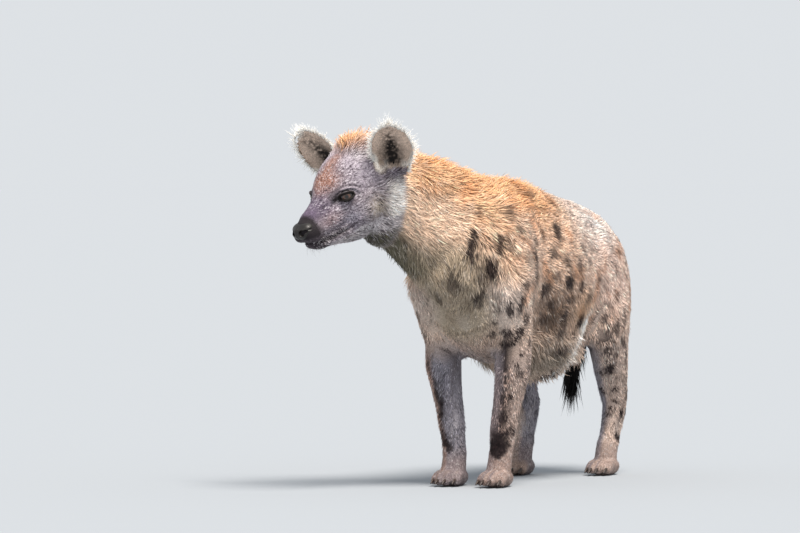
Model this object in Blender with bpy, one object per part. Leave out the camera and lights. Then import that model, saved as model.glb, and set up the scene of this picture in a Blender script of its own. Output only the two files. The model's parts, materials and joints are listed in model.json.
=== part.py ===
"""A life-size spotted hyena that stands on four paws with its head turned to its right.

Metres, +Z up, +X the way the body faces, +Y the animal's left. The floor is z = 0.
Every solid reaches out to the tips of the coat, and nodes meet with a gap of 0.3 mm.
"""

import math
import random

import bmesh
import bpy
import numpy as np
from mathutils import Matrix, Vector
from mathutils.bvhtree import BVHTree

GAP = 0.0003

# Height of the back along the trunk, and the deep, low belly line under it.
WITHERS_HEIGHT = 0.768
MID_BACK_HEIGHT = 0.743
CROUP_HEIGHT = 0.708
BELLY_HEIGHT = 0.280
GROIN_HEIGHT = 0.315

# Places of the legs along the body, and of each paw to the side.
SHOULDER_X = 0.300
HIP_X = -0.270
FORE_PAW_X = 0.280
HIND_PAW_X = {"left": -0.300, "right": -0.204}
FORE_PAW_Y = 0.062
HIND_PAW_Y = {"left": 0.092, "right": 0.104}
PASTERN_HEIGHT = 0.085

# The head: its nose tip, how far it is turned to the right and how far the muzzle dips.
NOSE_TIP = Vector((0.783, -0.253, 0.645))
HEAD_TURN = math.radians(20)
MUZZLE_DIP = math.radians(22)
NECK_CUT = -0.262
EYE_RADIUS = 0.0180
EYE_STAND = 0.0062
EYE_PLACE = (-0.150, 0.050, 0.027)
EYE_LOOK = (0.60, 0.78, 0.10)
EAR_LENGTH = 0.134
EAR_HALF_WIDTH = 0.053
EAR_ROOT = (-0.269, 0.111, 0.041)
EAR_CUP = 0.032
EAR_WALL = 0.007
EAR_RISE = {"left": (0.34, 0.36, 0.87), "right": (0.22, -0.66, 0.72)}
EAR_FACE = {"left": (0.75, 0.60, -0.10), "right": (0.93, 0.10, -0.12)}

# Coat forms.
CREST_LENGTH = 0.60
MANE_SPACING = 0.047
MANE_LENGTH = 0.078
LOCK_HALF_WIDTH = 0.023
LOCK_THICKNESS = 0.009
BRUSH_LOCKS = 20
BRUSH_LENGTH = 0.206

# Fineness of each form before it is thinned, and the triangles that it keeps.
HEAD_GRAIN, HEAD_TRIANGLES = 0.0035, 1800
BODY_GRAIN, BODY_TRIANGLES = 0.0060, 3050
PAW_GRAIN, PAW_TRIANGLES = 0.0025, 320
CALM_HEIGHT = 0.40

SIDES = {"left": 1, "right": -1}
COLOURS = {
    "fur": ((0.62, 0.44, 0.30), 0.9),
    "mane": ((0.72, 0.45, 0.25), 0.9),
    "face": ((0.32, 0.26, 0.24), 0.9),
    "ear": ((0.45, 0.36, 0.26), 0.9),
    "leg": ((0.46, 0.36, 0.29), 0.9),
    "paw": ((0.30, 0.23, 0.19), 0.9),
    "brush": ((0.02, 0.017, 0.015), 0.8),
    "nose": ((0.03, 0.027, 0.027), 0.4),
    "eye": ((0.05, 0.025, 0.012), 0.1),
}


def clear_scene():
    for thing in list(bpy.data.objects):
        bpy.data.objects.remove(thing)


def material(name):
    if name in bpy.data.materials:
        return bpy.data.materials[name]
    colour, roughness = COLOURS[name]
    made = bpy.data.materials.new(name)
    made.use_nodes = True
    shader = made.node_tree.nodes["Principled BSDF"]
    shader.inputs["Base Color"].default_value = (*colour, 1)
    shader.inputs["Roughness"].default_value = roughness
    return made


def head_axes():
    """The head's own frame at its nose tip: x along the muzzle, y to its left, z out of its crown."""
    turn = Matrix.Rotation(-HEAD_TURN, 3, "Z")
    return turn @ Matrix.Rotation(MUZZLE_DIP, 3, "Y")


def head_point(along, left, up):
    return NOSE_TIP + head_axes() @ Vector((along, left, up))


def head_direction(along, left, up):
    return (head_axes() @ Vector((along, left, up))).normalized()


def through(rows, steps):
    """Rows read along a smooth curve that passes through the given ones."""
    rows = np.array(rows, float)
    ends = np.vstack([2 * rows[0] - rows[1], rows, 2 * rows[-1] - rows[-2]])
    dense = []
    for a, b, c, d in zip(ends, ends[1:], ends[2:], ends[3:]):
        for t in np.arange(steps) / steps:
            bend = (2 * a - 5 * b + 4 * c - d) * t**2 + (3 * b - 3 * c + d - a) * t**3
            dense.append((2 * b + (c - a) * t + bend) / 2)
    return np.array([*dense, rows[-1]])


def unit(vectors):
    return vectors / np.linalg.norm(vectors, axis=-1, keepdims=True)


def mesh_of(name, points, faces):
    mesh = bpy.data.meshes.new(name)
    mesh.from_pydata([tuple(p) for p in points], [], faces)
    work = bmesh.new()
    work.from_mesh(mesh)
    bmesh.ops.recalc_face_normals(work, faces=work.faces)
    bmesh.ops.triangulate(work, faces=work.faces)
    work.to_mesh(mesh)
    work.free()
    return mesh


def object_of(name, mesh):
    made = bpy.data.objects.new(name, mesh)
    bpy.context.scene.collection.objects.link(made)
    return made


def loft(rows, across, sides=18, steps=4, frame=None, squareness=1.0):
    """A closed form with round ends, through rows of place, half width, upper and lower half height.

    Its width runs along the cross product of across and the path. A squareness under 1 fills its corners.
    """
    rows = through(rows, steps)
    path = unit(np.gradient(rows[:, :3], axis=0))
    width = unit(np.cross(np.array(across, float), path))
    height = np.cross(path, width)
    turns = np.arange(sides) / sides * 2 * math.pi
    side, rise = [np.sign(w) * np.abs(w) ** squareness for w in (np.cos(turns), np.sin(turns))]
    rings, poles = [], []
    last = len(rows) - 1
    ends = [(0, -1, math.radians(a)) for a in (68, 40)]
    middle = [(i, 0, 0) for i in range(last + 1)]
    far = [(last, 1, math.radians(a)) for a in (40, 68)]
    for i, way, angle in [*ends, *middle, *far]:
        reach = 0.9 * rows[i, 3:].min()
        centre = rows[i, :3] + path[i] * way * reach * math.sin(angle)
        wide, high, low = rows[i, 3:] * math.cos(angle)
        lift = np.where(rise > 0, high, low) * rise
        rings.append(centre + np.outer(side * wide, width[i]) + np.outer(lift, height[i]))
    for i, way in ((0, -1), (last, 1)):
        poles.append(rows[i, :3] + path[i] * way * 0.9 * rows[i, 3:].min())
    points = np.vstack([*rings, *poles])
    if frame is not None:
        points = np.array([frame(*p) for p in points])
    count = len(rings) * sides
    faces = []
    for r in range(len(rings) - 1):
        for s in range(sides):
            a, b = r * sides + s, r * sides + (s + 1) % sides
            faces.append((a, b, b + sides, a + sides))
    for s in range(sides):
        faces.append((count, (s + 1) % sides, s))
        faces.append((count + 1, count - sides + s, count - sides + (s + 1) % sides))
    return mesh_of("loft", points, faces)


def ball(centre, radii, axes=None, fineness=3):
    """An ellipsoid, with its radii along the columns of axes."""
    work = bmesh.new()
    bmesh.ops.create_icosphere(work, subdivisions=fineness, radius=1)
    shape = Matrix.Diagonal((*radii, 1))
    turn = (axes or Matrix.Identity(3)).to_4x4()
    bmesh.ops.transform(work, matrix=Matrix.Translation(centre) @ turn @ shape, verts=work.verts)
    mesh = bpy.data.meshes.new("ball")
    work.to_mesh(mesh)
    work.free()
    return mesh


def head_ball(place, radii):
    return ball(head_point(*place), radii, head_axes())


def joined(name, meshes):
    work = bmesh.new()
    for mesh in meshes:
        work.from_mesh(mesh)
    made = bpy.data.meshes.new(name)
    work.to_mesh(made)
    work.free()
    return object_of(name, made)


def applied(thing):
    """Replaces the object's mesh with what its modifiers make of it."""
    graph = bpy.context.evaluated_depsgraph_get()
    mesh = bpy.data.meshes.new_from_object(thing.evaluated_get(graph))
    thing.modifiers.clear()
    thing.data = mesh
    return thing


def blended(name, meshes, grain, rounds, triangles, calmed=0):
    """Overlapping forms melted into one skin, rounded where they meet, with few triangles.

    The trunk above CALM_HEIGHT gets the calmed rounds of smoothing besides.
    """
    thing = joined(name, meshes)
    melt = thing.modifiers.new("melt", "REMESH")
    melt.mode = "VOXEL"
    melt.voxel_size = grain
    relax = thing.modifiers.new("relax", "SMOOTH")
    relax.factor = 0.5
    relax.iterations = rounds
    applied(thing)
    if calmed:
        high = thing.vertex_groups.new(name="high")
        for vertex in thing.data.vertices:
            high.add([vertex.index], min(1, max(0, (vertex.co.z - CALM_HEIGHT) / 0.10)), "REPLACE")
        calm = thing.modifiers.new("calm", "SMOOTH")
        calm.factor = 0.5
        calm.iterations = calmed
        calm.vertex_group = "high"
        applied(thing)
    count = sum(len(face.vertices) - 2 for face in thing.data.polygons)
    thin = thing.modifiers.new("thin", "DECIMATE")
    thin.ratio = min(1, triangles / count)
    thin.use_collapse_triangulate = True
    return largest(applied(thing))


def cut(thing, operation, others, solver="EXACT"):
    """One Boolean of the object with several others, which are then removed."""
    group = bpy.data.collections.new("others")
    for other in others:
        group.objects.link(other)
    step = thing.modifiers.new("cut", "BOOLEAN")
    step.operation = operation
    step.operand_type = "COLLECTION"
    step.collection = group
    step.solver = solver
    applied(thing)
    for other in others:
        bpy.data.objects.remove(other)
    bpy.data.collections.remove(group)
    return thing


def copy_of(thing, name="copy"):
    return object_of(name, thing.data.copy())


def largest(thing):
    """Keeps only the object's largest closed surface."""
    work = bmesh.new()
    work.from_mesh(thing.data)
    bmesh.ops.triangulate(work, faces=work.faces)
    work.verts.ensure_lookup_table()
    unseen, shells = set(work.verts), []
    while unseen:
        shell, front = set(), [unseen.pop()]
        while front:
            vertex = front.pop()
            shell.add(vertex)
            near = {edge.other_vert(vertex) for edge in vertex.link_edges} & unseen
            unseen -= near
            front.extend(near)
        shells.append(shell)

    def volume(shell):
        faces = {face for vertex in shell for face in vertex.link_faces}
        corners = ([v.co for v in face.verts] for face in faces)
        return sum(a.dot(b.cross(c)) for a, b, c in corners)

    keep = max(shells, key=volume)
    bmesh.ops.delete(work, geom=[v for v in work.verts if v not in keep], context="VERTS")
    work.to_mesh(thing.data)
    work.free()
    return thing


def slab(point, normal, reach=1.5):
    """A big block that fills the side of a plane to which the normal points."""
    axes = Vector(normal).to_track_quat("Z", "Y").to_matrix().to_4x4()
    place = Matrix.Translation(Vector(point)) @ axes @ Matrix.Translation((0, 0, reach / 2))
    work = bmesh.new()
    bmesh.ops.create_cube(work, size=1)
    size = Matrix.Diagonal((reach, reach, reach, 1))
    bmesh.ops.transform(work, matrix=place @ size, verts=work.verts)
    mesh = bpy.data.meshes.new("slab")
    work.to_mesh(mesh)
    work.free()
    return object_of("slab", mesh)


def grown(mesh, by):
    """A copy of a closed mesh that is larger by a small distance all round."""
    copy = mesh.copy()
    work = bmesh.new()
    work.from_mesh(copy)
    work.normal_update()
    for vertex in work.verts:
        vertex.co += vertex.normal * by
    work.to_mesh(copy)
    work.free()
    return object_of("grown", copy)


def finished(thing, name, finish):
    thing.name = name
    thing.data.name = name
    thing.data.materials.clear()
    thing.data.materials.append(material(finish))
    thing.data.shade_smooth()
    thing.data.set_sharp_from_angle(angle=math.radians(50))
    return thing


def lock(root, out, lie, length, half_width, thickness, sunk=0.012, parts=4):
    """A flat, tapered tuft of coat that leaves its root along out and bends over to lie."""
    out, lie = Vector(out).normalized(), Vector(lie).normalized()
    flat = out.cross(lie)
    if flat.length < 0.05:
        flat = out.cross(Vector((0, 0, 1)))
    flat.normalize()
    rows, place = [], Vector(root) - out * sunk
    for i in range(parts):
        t = i / parts
        way = (out * (1 - t) + lie * t).normalized()
        swell = math.sin(math.pi * (0.35 + 0.65 * t)) ** 0.7
        wide, thick = half_width * swell, thickness * (1 - 0.75 * t)
        face = flat.cross(way)
        rows.append([place + flat * wide, place + face * thick / 2])
        rows[-1] += [place - flat * wide, place - face * thick / 2]
        place = place + way * ((length + sunk) / parts)
    points = [corner for row in rows for corner in row] + [place]
    faces, tip = [(3, 2, 1, 0)], len(points) - 1
    for i in range(parts - 1):
        for s in range(4):
            a, b = 4 * i + s, 4 * i + (s + 1) % 4
            faces.append((a, b, b + 4, a + 4))
    faces += [(tip - 4 + s, tip - 4 + (s + 1) % 4, tip) for s in range(4)]
    return mesh_of("lock", points, faces)


def trunk_forms():
    """The barrel, then the muscle that fills the shoulders, hips and chest."""
    rows = []
    for x, top, bottom, half_width in (
        (-0.385, 0.655, 0.440, 0.098),
        (-0.300, CROUP_HEIGHT, 0.365, 0.146),
        (-0.190, 0.727, GROIN_HEIGHT, 0.157),
        (-0.050, MID_BACK_HEIGHT, BELLY_HEIGHT, 0.164),
        (0.090, 0.752, 0.288, 0.163),
        (0.220, WITHERS_HEIGHT, 0.310, 0.148),
        (0.320, 0.754, 0.352, 0.124),
        (0.385, 0.690, 0.420, 0.090),
    ):
        middle = (top + bottom) / 2 + 0.02
        rows.append((x, 0, middle, half_width, top - middle, middle - bottom))
    forms = [loft(rows, (0, 0, 1), sides=28)]
    for side in SIDES.values():
        forms.append(ball((0.266, 0.097 * side, 0.555), (0.118, 0.066, 0.155)))
        forms.append(ball((-0.270, 0.088 * side, 0.520), (0.120, 0.076, 0.130)))
    forms.append(ball((0.320, 0.000, 0.480), (0.088, 0.110, 0.135)))
    forms.append(ball((0.320, 0.022, 0.625), (0.105, 0.104, 0.125)))
    return forms


def neck_forms():
    """The thick neck, from between the shoulders up and to the right."""
    rows = (
        (0.225, 0.000, 0.590, 0.120, 0.165, 0.190),
        (0.330, -0.026, 0.640, 0.114, 0.140, 0.172),
        (0.425, -0.078, 0.696, 0.102, 0.122, 0.138),
        (0.500, -0.124, 0.736, 0.095, 0.102, 0.126),
        (0.565, -0.158, 0.760, 0.088, 0.086, 0.112),
    )
    return [loft(rows, (0, 0, 1), sides=24)]


def skull_form():
    """Cranium and upper jaw, as rows of distance from the nose tip, half width, top and bottom."""
    rows = []
    for along, half_width, top, bottom in (
        (-0.034, 0.030, 0.010, -0.047),
        (-0.050, 0.036, 0.015, -0.054),
        (-0.085, 0.041, 0.031, -0.059),
        (-0.125, 0.051, 0.057, -0.062),
        (-0.175, 0.074, 0.093, -0.060),
        (-0.225, 0.086, 0.117, -0.056),
        (-0.275, 0.082, 0.122, -0.050),
    ):
        middle = 0.55 * bottom + 0.45 * top
        rows.append((along, 0, middle, half_width, top - middle, middle - bottom))
    return loft(rows, (0, 0, 1), sides=28, frame=head_point, squareness=0.86)


def jaw_form():
    rows = []
    for along, half_width, top, bottom in (
        (-0.044, 0.021, -0.044, -0.070),
        (-0.060, 0.029, -0.040, -0.077),
        (-0.105, 0.037, -0.036, -0.087),
        (-0.155, 0.051, -0.020, -0.093),
        (-0.205, 0.063, 0.000, -0.089),
        (-0.245, 0.060, 0.010, -0.078),
    ):
        middle = (top + bottom) / 2
        rows.append((along, 0, middle, half_width, top - middle, middle - bottom))
    return loft(rows, (0, 0, 1), sides=24, frame=head_point, squareness=0.86)


def head_forms():
    forms = [skull_form(), jaw_form()]
    for side in SIDES.values():
        brow = (-0.146, 0.039 * side, 0.046)
        cheek = (-0.200, 0.050 * side, -0.012)
        pad = (-0.046, 0.017 * side, -0.026)
        ear_base = (-0.250, 0.068 * side, 0.046)
        forms.append(head_ball(brow, (0.025, 0.017, 0.013)))
        forms.append(head_ball(cheek, (0.060, 0.040, 0.058)))
        forms.append(head_ball(pad, (0.034, 0.022, 0.026)))
        forms.append(head_ball(ear_base, (0.036, 0.030, 0.038)))
    return forms


def foreleg_forms(side):
    """Upper arm, forearm and cannon, from the shoulder down to the paw."""
    arm = (
        (SHOULDER_X + 0.030, 0.116 * side, 0.510, 0.056, 0.062, 0.070),
        (SHOULDER_X - 0.005, 0.108 * side, 0.430, 0.056, 0.064, 0.072),
        (SHOULDER_X - 0.035, 0.102 * side, 0.365, 0.051, 0.054, 0.058),
    )
    forearm = (
        (SHOULDER_X - 0.030, 0.101 * side, 0.370, 0.050, 0.052, 0.058),
        (SHOULDER_X - 0.030, 0.092 * side, 0.290, 0.043, 0.045, 0.047),
        (SHOULDER_X - 0.030, 0.079 * side, 0.200, 0.037, 0.038, 0.038),
        (SHOULDER_X - 0.028, 0.070 * side, 0.145, 0.035, 0.036, 0.036),
        (FORE_PAW_X - 0.008, 0.064 * side, 0.085, 0.031, 0.031, 0.032),
        (FORE_PAW_X + 0.004, FORE_PAW_Y * side, 0.030, 0.033, 0.034, 0.034),
    )
    return [loft(arm, (1, 0, 0)), loft(forearm, (1, 0, 0))]


def hindleg_forms(name):
    """Thigh, shank and hock, from the hip down to the paw."""
    side, paw, wide = SIDES[name], HIND_PAW_X[name], HIND_PAW_Y[name]
    lead = paw - HIND_PAW_X["left"]
    thigh = (
        (HIP_X - 0.010 + 0.2 * lead, 0.100 * side, 0.520, 0.066, 0.105, 0.110),
        (HIP_X + 0.010 + 0.4 * lead, 0.114 * side, 0.430, 0.060, 0.095, 0.105),
        (HIP_X + 0.018 + 0.6 * lead, (wide + 0.023) * side, 0.360, 0.052, 0.076, 0.088),
    )
    shank = (
        (HIP_X + 0.012 + 0.6 * lead, (wide + 0.023) * side, 0.380, 0.052, 0.074, 0.078),
        (HIP_X - 0.018 + 0.7 * lead, (wide + 0.017) * side, 0.300, 0.047, 0.056, 0.060),
        (paw - 0.028, (wide + 0.008) * side, 0.230, 0.039, 0.044, 0.046),
        (paw - 0.048, (wide + 0.004) * side, 0.180, 0.033, 0.038, 0.042),
        (paw - 0.032, (wide + 0.002) * side, 0.120, 0.029, 0.031, 0.032),
        (paw - 0.010, wide * side, 0.070, 0.029, 0.030, 0.029),
        (paw + 0.002, wide * side, 0.030, 0.031, 0.032, 0.032),
    )
    return [loft(thigh, (1, 0, 0)), loft(shank, (1, 0, 0))]


def leg_envelope(name, end):
    """A plump form round one leg. Its inner face is where the leg leaves the trunk."""
    side = SIDES[name]
    if end == "fore":
        rows = (
            (0.285, 0.106 * side, -0.100, 0.098, 0.140, 0.120),
            (0.275, 0.106 * side, 0.200, 0.100, 0.110, 0.095),
            (0.275, 0.118 * side, 0.340, 0.082, 0.105, 0.085),
            (0.300, 0.140 * side, 0.470, 0.068, 0.098, 0.100),
            (0.295, 0.150 * side, 0.545, 0.052, 0.070, 0.075),
        )
    else:
        lead = HIND_PAW_X[name] - HIND_PAW_X["left"]
        wide = HIND_PAW_Y[name]
        rows = (
            (-0.295 + lead, (wide + 0.014) * side, -0.100, 0.092, 0.150, 0.130),
            (-0.310 + 0.9 * lead, (wide + 0.016) * side, 0.200, 0.094, 0.120, 0.120),
            (-0.262 + 0.6 * lead, 0.128 * side, 0.350, 0.090, 0.125, 0.150),
            (-0.270 + 0.3 * lead, 0.150 * side, 0.470, 0.078, 0.120, 0.140),
            (-0.280 + 0.2 * lead, 0.155 * side, 0.545, 0.058, 0.080, 0.095),
        )
    return loft(rows, (1, 0, 0), sides=12, steps=1)


def crest_place(share):
    """A point of the crest line from the nape at 0 to the middle of the back at 1, and its lie."""
    line = through(((0.545, -0.150), (0.460, -0.100), (0.360, -0.040), (0.220, 0.0), (0.020, 0.0)), 8)
    at = share * (len(line) - 1)
    low = min(int(at), len(line) - 2)
    place = line[low] + (line[low + 1] - line[low]) * (at - low)
    ahead = Vector((*(line[low + 1] - line[low]), 0)).normalized()
    return Vector((*place, 0)), ahead


def mane_locks(body):
    """Rows of overlapping locks from the nape over the withers, swept back along the crest."""
    draw = random.Random(5)
    tree = BVHTree.FromObject(body, bpy.context.evaluated_depsgraph_get())
    locks = []
    rows = int(CREST_LENGTH / MANE_SPACING)
    for i in range(rows):
        share = (i + 0.5) / rows
        columns = (-1.5, -0.5, 0.5, 1.5) if i % 2 else (-1, 0, 1)
        for column in columns:
            centre, back = crest_place(min(1, share + draw.uniform(-0.01, 0.01)))
            aside = Vector((-back.y, back.x, 0))
            start = centre + aside * column * 0.032 + Vector((0, 0, 1.2))
            spot, normal, _, _ = tree.ray_cast(start, Vector((0, 0, -1)))
            if spot is None or normal.z < 0.25:
                continue
            size = MANE_LENGTH * (1.0 - 0.35 * share) * draw.uniform(0.88, 1.08)
            out = normal * 0.60 + back * 0.8 + aside * 0.1 * column
            lie = back + normal * (0.16 - 0.08 * abs(column)) + aside * draw.uniform(-0.15, 0.15)
            locks.append(lock(spot, out, lie, size, LOCK_HALF_WIDTH, LOCK_THICKNESS, parts=3))
    return locks


def belly_locks(body):
    """The shaggy fringe that hangs from the belly and the groin."""
    draw = random.Random(11)
    tree = BVHTree.FromObject(body, bpy.context.evaluated_depsgraph_get())
    locks = []
    for i in range(6):
        x = -0.165 + 0.055 * i
        for column in (-1, 0, 1):
            y = 0.055 * column + (0.016 if i % 2 else -0.016)
            spot, normal, _, _ = tree.ray_cast(Vector((x, y, -0.5)), Vector((0, 0, 1)))
            if spot is None or spot.z < 0.2 or normal.z > -0.4:
                continue
            out = normal * 0.6 + Vector((-0.8, 0, 0))
            lie = Vector((-0.9, draw.uniform(-0.2, 0.2), -0.40))
            size = 0.070 * draw.uniform(0.80, 1.15)
            locks.append(lock(spot, out, lie, size, 0.020, 0.010, parts=3))
    return locks


def neck_plane():
    normal = Matrix.Rotation(-HEAD_TURN, 3, "Z") @ Vector((1, 0, 0))
    return NOSE_TIP + normal * NECK_CUT, normal


def shoulder_plane():
    return Vector((0.385, -0.030, 0.660)), Vector((0.85, -0.20, 0.50)).normalized()


def trimmed(thing, point, normal):
    """Cuts off what lies beyond a plane, and half a gap more."""
    return cut(thing, "DIFFERENCE", [slab(point - normal * GAP / 2, normal)])


def nape_locks(head):
    """The first locks of the mane, between the ears."""
    draw = random.Random(3)
    tree = BVHTree.FromObject(head, bpy.context.evaluated_depsgraph_get())
    locks = []
    back, up = head_direction(-1, 0, 0.25), head_direction(0.15, 0, 1)
    for i in range(2):
        for column in (-1, 0, 1) if i else (-0.5, 0.5):
            start = head_point(-0.246 - 0.028 * i, 0.030 * column, 0.3)
            spot, normal, _, _ = tree.ray_cast(start, -head_direction(0, 0, 1))
            out = normal + back * 0.5
            lie = back + up * (0.25 + 0.10 * i)
            size = (0.040, 0.068)[i] * draw.uniform(0.92, 1.06)
            locks.append(lock(spot, out, lie, size, 0.020, 0.009, parts=3))
    return locks


def mouth_cutter():
    """A thin curved sheet that cuts the line of the lips a few millimetres deep."""
    line = ((0.02, -0.046), (-0.02, -0.049), (-0.06, -0.055), (-0.10, -0.057), (-0.14, -0.053),
            (-0.165, -0.043))
    half, points = 0.0014, []
    for along, up in line:
        points += [(along, -0.11, up - half), (along, 0.11, up - half)]
        points += [(along, 0.11, up + half), (along, -0.11, up + half)]
    faces = [(0, 1, 2, 3), tuple(4 * len(line) - 4 + k for k in (3, 2, 1, 0))]
    for i in range(len(line) - 1):
        for s in range(4):
            a, b = 4 * i + s, 4 * i + (s + 1) % 4
            faces.append((a, a + 4, b + 4, b))
    sheet = object_of("sheet", mesh_of("sheet", [head_point(*p) for p in points], faces))
    core = (
        (-0.030, 0, -0.054, 0.012, 0.03, 0.03),
        (-0.060, 0, -0.059, 0.0235, 0.03, 0.03),
        (-0.105, 0, -0.063, 0.0325, 0.03, 0.03),
        (-0.155, 0, -0.057, 0.048, 0.03, 0.03),
        (-0.205, 0, -0.050, 0.070, 0.03, 0.03),
    )
    inner = object_of("core", loft(core, (0, 0, 1), sides=12, steps=1, frame=head_point))
    return cut(sheet, "DIFFERENCE", [inner])


def eye_frame(side, head):
    """Place of an eyeball that stands a little out of the face, and its axes: x out of the pupil."""
    along, left, up = EYE_PLACE
    look = head_direction(EYE_LOOK[0], EYE_LOOK[1] * side, EYE_LOOK[2])
    lift = head_direction(0, 0, 1)
    across = lift.cross(look).normalized()
    axes = Matrix((look, across, look.cross(across))).transposed()
    tree = BVHTree.FromObject(head, bpy.context.evaluated_depsgraph_get())
    skin = tree.ray_cast(head_point(along, left * side, up) + look * 0.1, -look)[0]
    return skin + look * (EYE_STAND - EYE_RADIUS), axes


def lids(centre, axes):
    """An almond ring of lid round the eyeball, as one closed tube."""
    count, sides, points = 14, 6, []
    for i in range(count):
        turn = 2 * math.pi * i / count
        wide, high = math.cos(turn) * 0.90, math.sin(turn) * (0.62 if math.sin(turn) > 0 else 0.52)
        ray = Vector((math.sqrt(max(0.05, 1 - wide**2 - high**2)), wide, high)).normalized()
        outward = Vector((0, math.cos(turn), math.sin(turn)))
        bulk = 0.0040 if high > 0 else 0.0034
        for s in range(sides):
            around = 2 * math.pi * s / sides
            rim = ray * (EYE_RADIUS + 0.0004 + bulk * math.cos(around)) + outward * bulk * math.sin(around)
            points.append(centre + axes @ rim)
    faces = []
    for i in range(count):
        for s in range(sides):
            a, b = i * sides + s, i * sides + (s + 1) % sides
            c, d = (i + 1) % count * sides + (s + 1) % sides, (i + 1) % count * sides + s
            faces.append((a, b, c, d))
    return mesh_of("lids", points, faces)


def eyeball(centre, axes, extra=0.0):
    radius = EYE_RADIUS + extra
    return ball(centre, (radius, radius, radius), axes, fineness=2)


def ear_mesh(name):
    """A rounded, cupped ear with a solid root that is sunk in the head."""
    root = head_point(EAR_ROOT[0], EAR_ROOT[1] * SIDES[name], EAR_ROOT[2])
    flat_turn = Matrix.Rotation(-HEAD_TURN, 3, "Z")
    rise = (flat_turn @ Vector(EAR_RISE[name])).normalized()
    face = flat_turn @ Vector(EAR_FACE[name])
    face = (face - rise * face.dot(rise)).normalized()
    across = rise.cross(face)
    rows, columns = 9, 8
    inner, outer = [], []
    for i in range(rows + 1):
        v = i / rows
        height = EAR_LENGTH * (1.12 * v - 0.12)
        outline = math.sqrt(max(0.0, 1 - max(0, (v - 0.45) / 0.55) ** 2.1))
        half = EAR_HALF_WIDTH * (0.66 + 0.34 * min(1, v / 0.4)) * max(0.16, outline)
        depth = EAR_CUP * min(1, max(0, (v - 0.10) / 0.22)) * (1 - 0.55 * v)
        back = EAR_CUP * (1.0 - 0.55 * v) + EAR_WALL
        curl = 0.020 * v * v
        for j in range(columns + 1):
            t = 2 * j / columns - 1
            hollow = math.sqrt(max(0, 1 - t * t))
            place = root + rise * height + across * half * t + face * (curl - 0.006)
            inner.append(place - face * depth * hollow)
            outer.append(place - face * (back * hollow * 0.92 + 0.0035))
    width = columns + 1
    count = len(inner)
    faces = []
    for i in range(rows):
        for j in range(columns):
            a = i * width + j
            faces.append((a, a + 1, a + 1 + width, a + width))
            faces.append((count + a, count + a + width, count + a + 1 + width, count + a + 1))
    for i in range(rows):
        for j in (0, columns):
            a = i * width + j
            faces.append((a, a + width, count + a + width, count + a))
    for i in (0, rows):
        for j in range(columns):
            a = i * width + j
            faces.append((a, count + a, count + a + 1, a + 1))
    return mesh_of("ear", inner + outer, faces)


def nose_meshes():
    """The bare nose pad, and the nostrils cut in it."""
    pad = (
        (-0.054, 0, -0.016, 0.027, 0.019, 0.019),
        (-0.042, 0, -0.015, 0.0325, 0.0225, 0.023),
        (-0.030, 0, -0.015, 0.0320, 0.0215, 0.023),
        (-0.021, 0, -0.016, 0.027, 0.018, 0.020),
    )
    holes = []
    for side in SIDES.values():
        spots = (((-0.007, 0.0155 * side, -0.0155), (0.014, 0.0074, 0.0080)),
                 ((-0.022, 0.0325 * side, -0.0145), (0.014, 0.0055, 0.0033)))
        holes += [ball(head_point(*spot), radii, head_axes(), fineness=2) for spot, radii in spots]
    return loft(pad, (0, 0, 1), sides=14, steps=1, frame=head_point, squareness=0.8), holes


def paw_forms(x, y, end):
    """Pad, four toes and the lower leg that runs into them."""
    wide = 1.0 if end == "fore" else 0.90
    side = 1 if y > 0 else -1
    forms = [loft(((x - 0.034, y, 0.022, 0.026, 0.020, 0.026), (x + 0.000, y, 0.026, 0.035, 0.026, 0.030),
                   (x + 0.030, y, 0.022, 0.034, 0.020, 0.026)), (0, 0, 1))]
    for i, shift in enumerate((-1.5, -0.5, 0.5, 1.5)):
        inner = abs(shift) < 1
        reach = 0.066 if inner else 0.050
        spread = shift * 0.0195 * wide
        forms.append(loft((
            (x + 0.012, y + spread * 0.72, 0.032, 0.0125, 0.013, 0.016),
            (x + reach - 0.018, y + spread * 0.95, 0.026, 0.0125, 0.013, 0.022),
            (x + reach, y + spread, 0.015, 0.0108, 0.010, 0.014)), (0, 0, 1)))
    return forms


def claws(x, y, end):
    """Four short, blunt claws, each a bent cone with its root in its toe."""
    wide = 1.0 if end == "fore" else 0.90
    made = []
    for shift in (-1.5, -0.5, 0.5, 1.5):
        reach = 0.066 if abs(shift) < 1 else 0.050
        place = (x + reach, y + shift * 0.0195 * wide)
        made.append(loft((
            (place[0] - 0.002, place[1], 0.0180, 0.0042, 0.0048, 0.0048),
            (place[0] + 0.012, place[1], 0.0150, 0.0034, 0.0040, 0.0040),
            (place[0] + 0.0215, place[1], 0.0085, 0.0016, 0.0018, 0.0018)), (0, 0, 1), sides=5, steps=1))
    return made


def leg_axis_forms(name, end):
    forms = foreleg_forms(SIDES[name]) if end == "fore" else hindleg_forms(name)
    return forms[1:]


def make_paw(name, end):
    side = SIDES[name]
    x = FORE_PAW_X if end == "fore" else HIND_PAW_X[name]
    y = (FORE_PAW_Y if end == "fore" else HIND_PAW_Y[name]) * side
    paw = blended("paw", paw_forms(x, y, end) + leg_axis_forms(name, end), PAW_GRAIN, 4, 10**9)
    top = Vector((0, 0, PASTERN_HEIGHT))
    cut(paw, "DIFFERENCE", [slab(top + Vector((0, 0, 0.004)), Vector((0, 0, 1)))], solver="MANIFOLD")
    thin = paw.modifiers.new("thin", "DECIMATE")
    count = sum(len(face.vertices) - 2 for face in paw.data.polygons)
    thin.ratio = PAW_TRIANGLES / count
    applied(paw)
    cut(paw, "UNION", [object_of("claw", mesh) for mesh in claws(x, y, end)])
    trimmed(paw, top, Vector((0, 0, 1)))
    cut(paw, "DIFFERENCE", [slab(Vector((0, 0, 0)), Vector((0, 0, -1)))])
    return finished(largest(paw), f"{end}paw_{name}", "paw")


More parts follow.
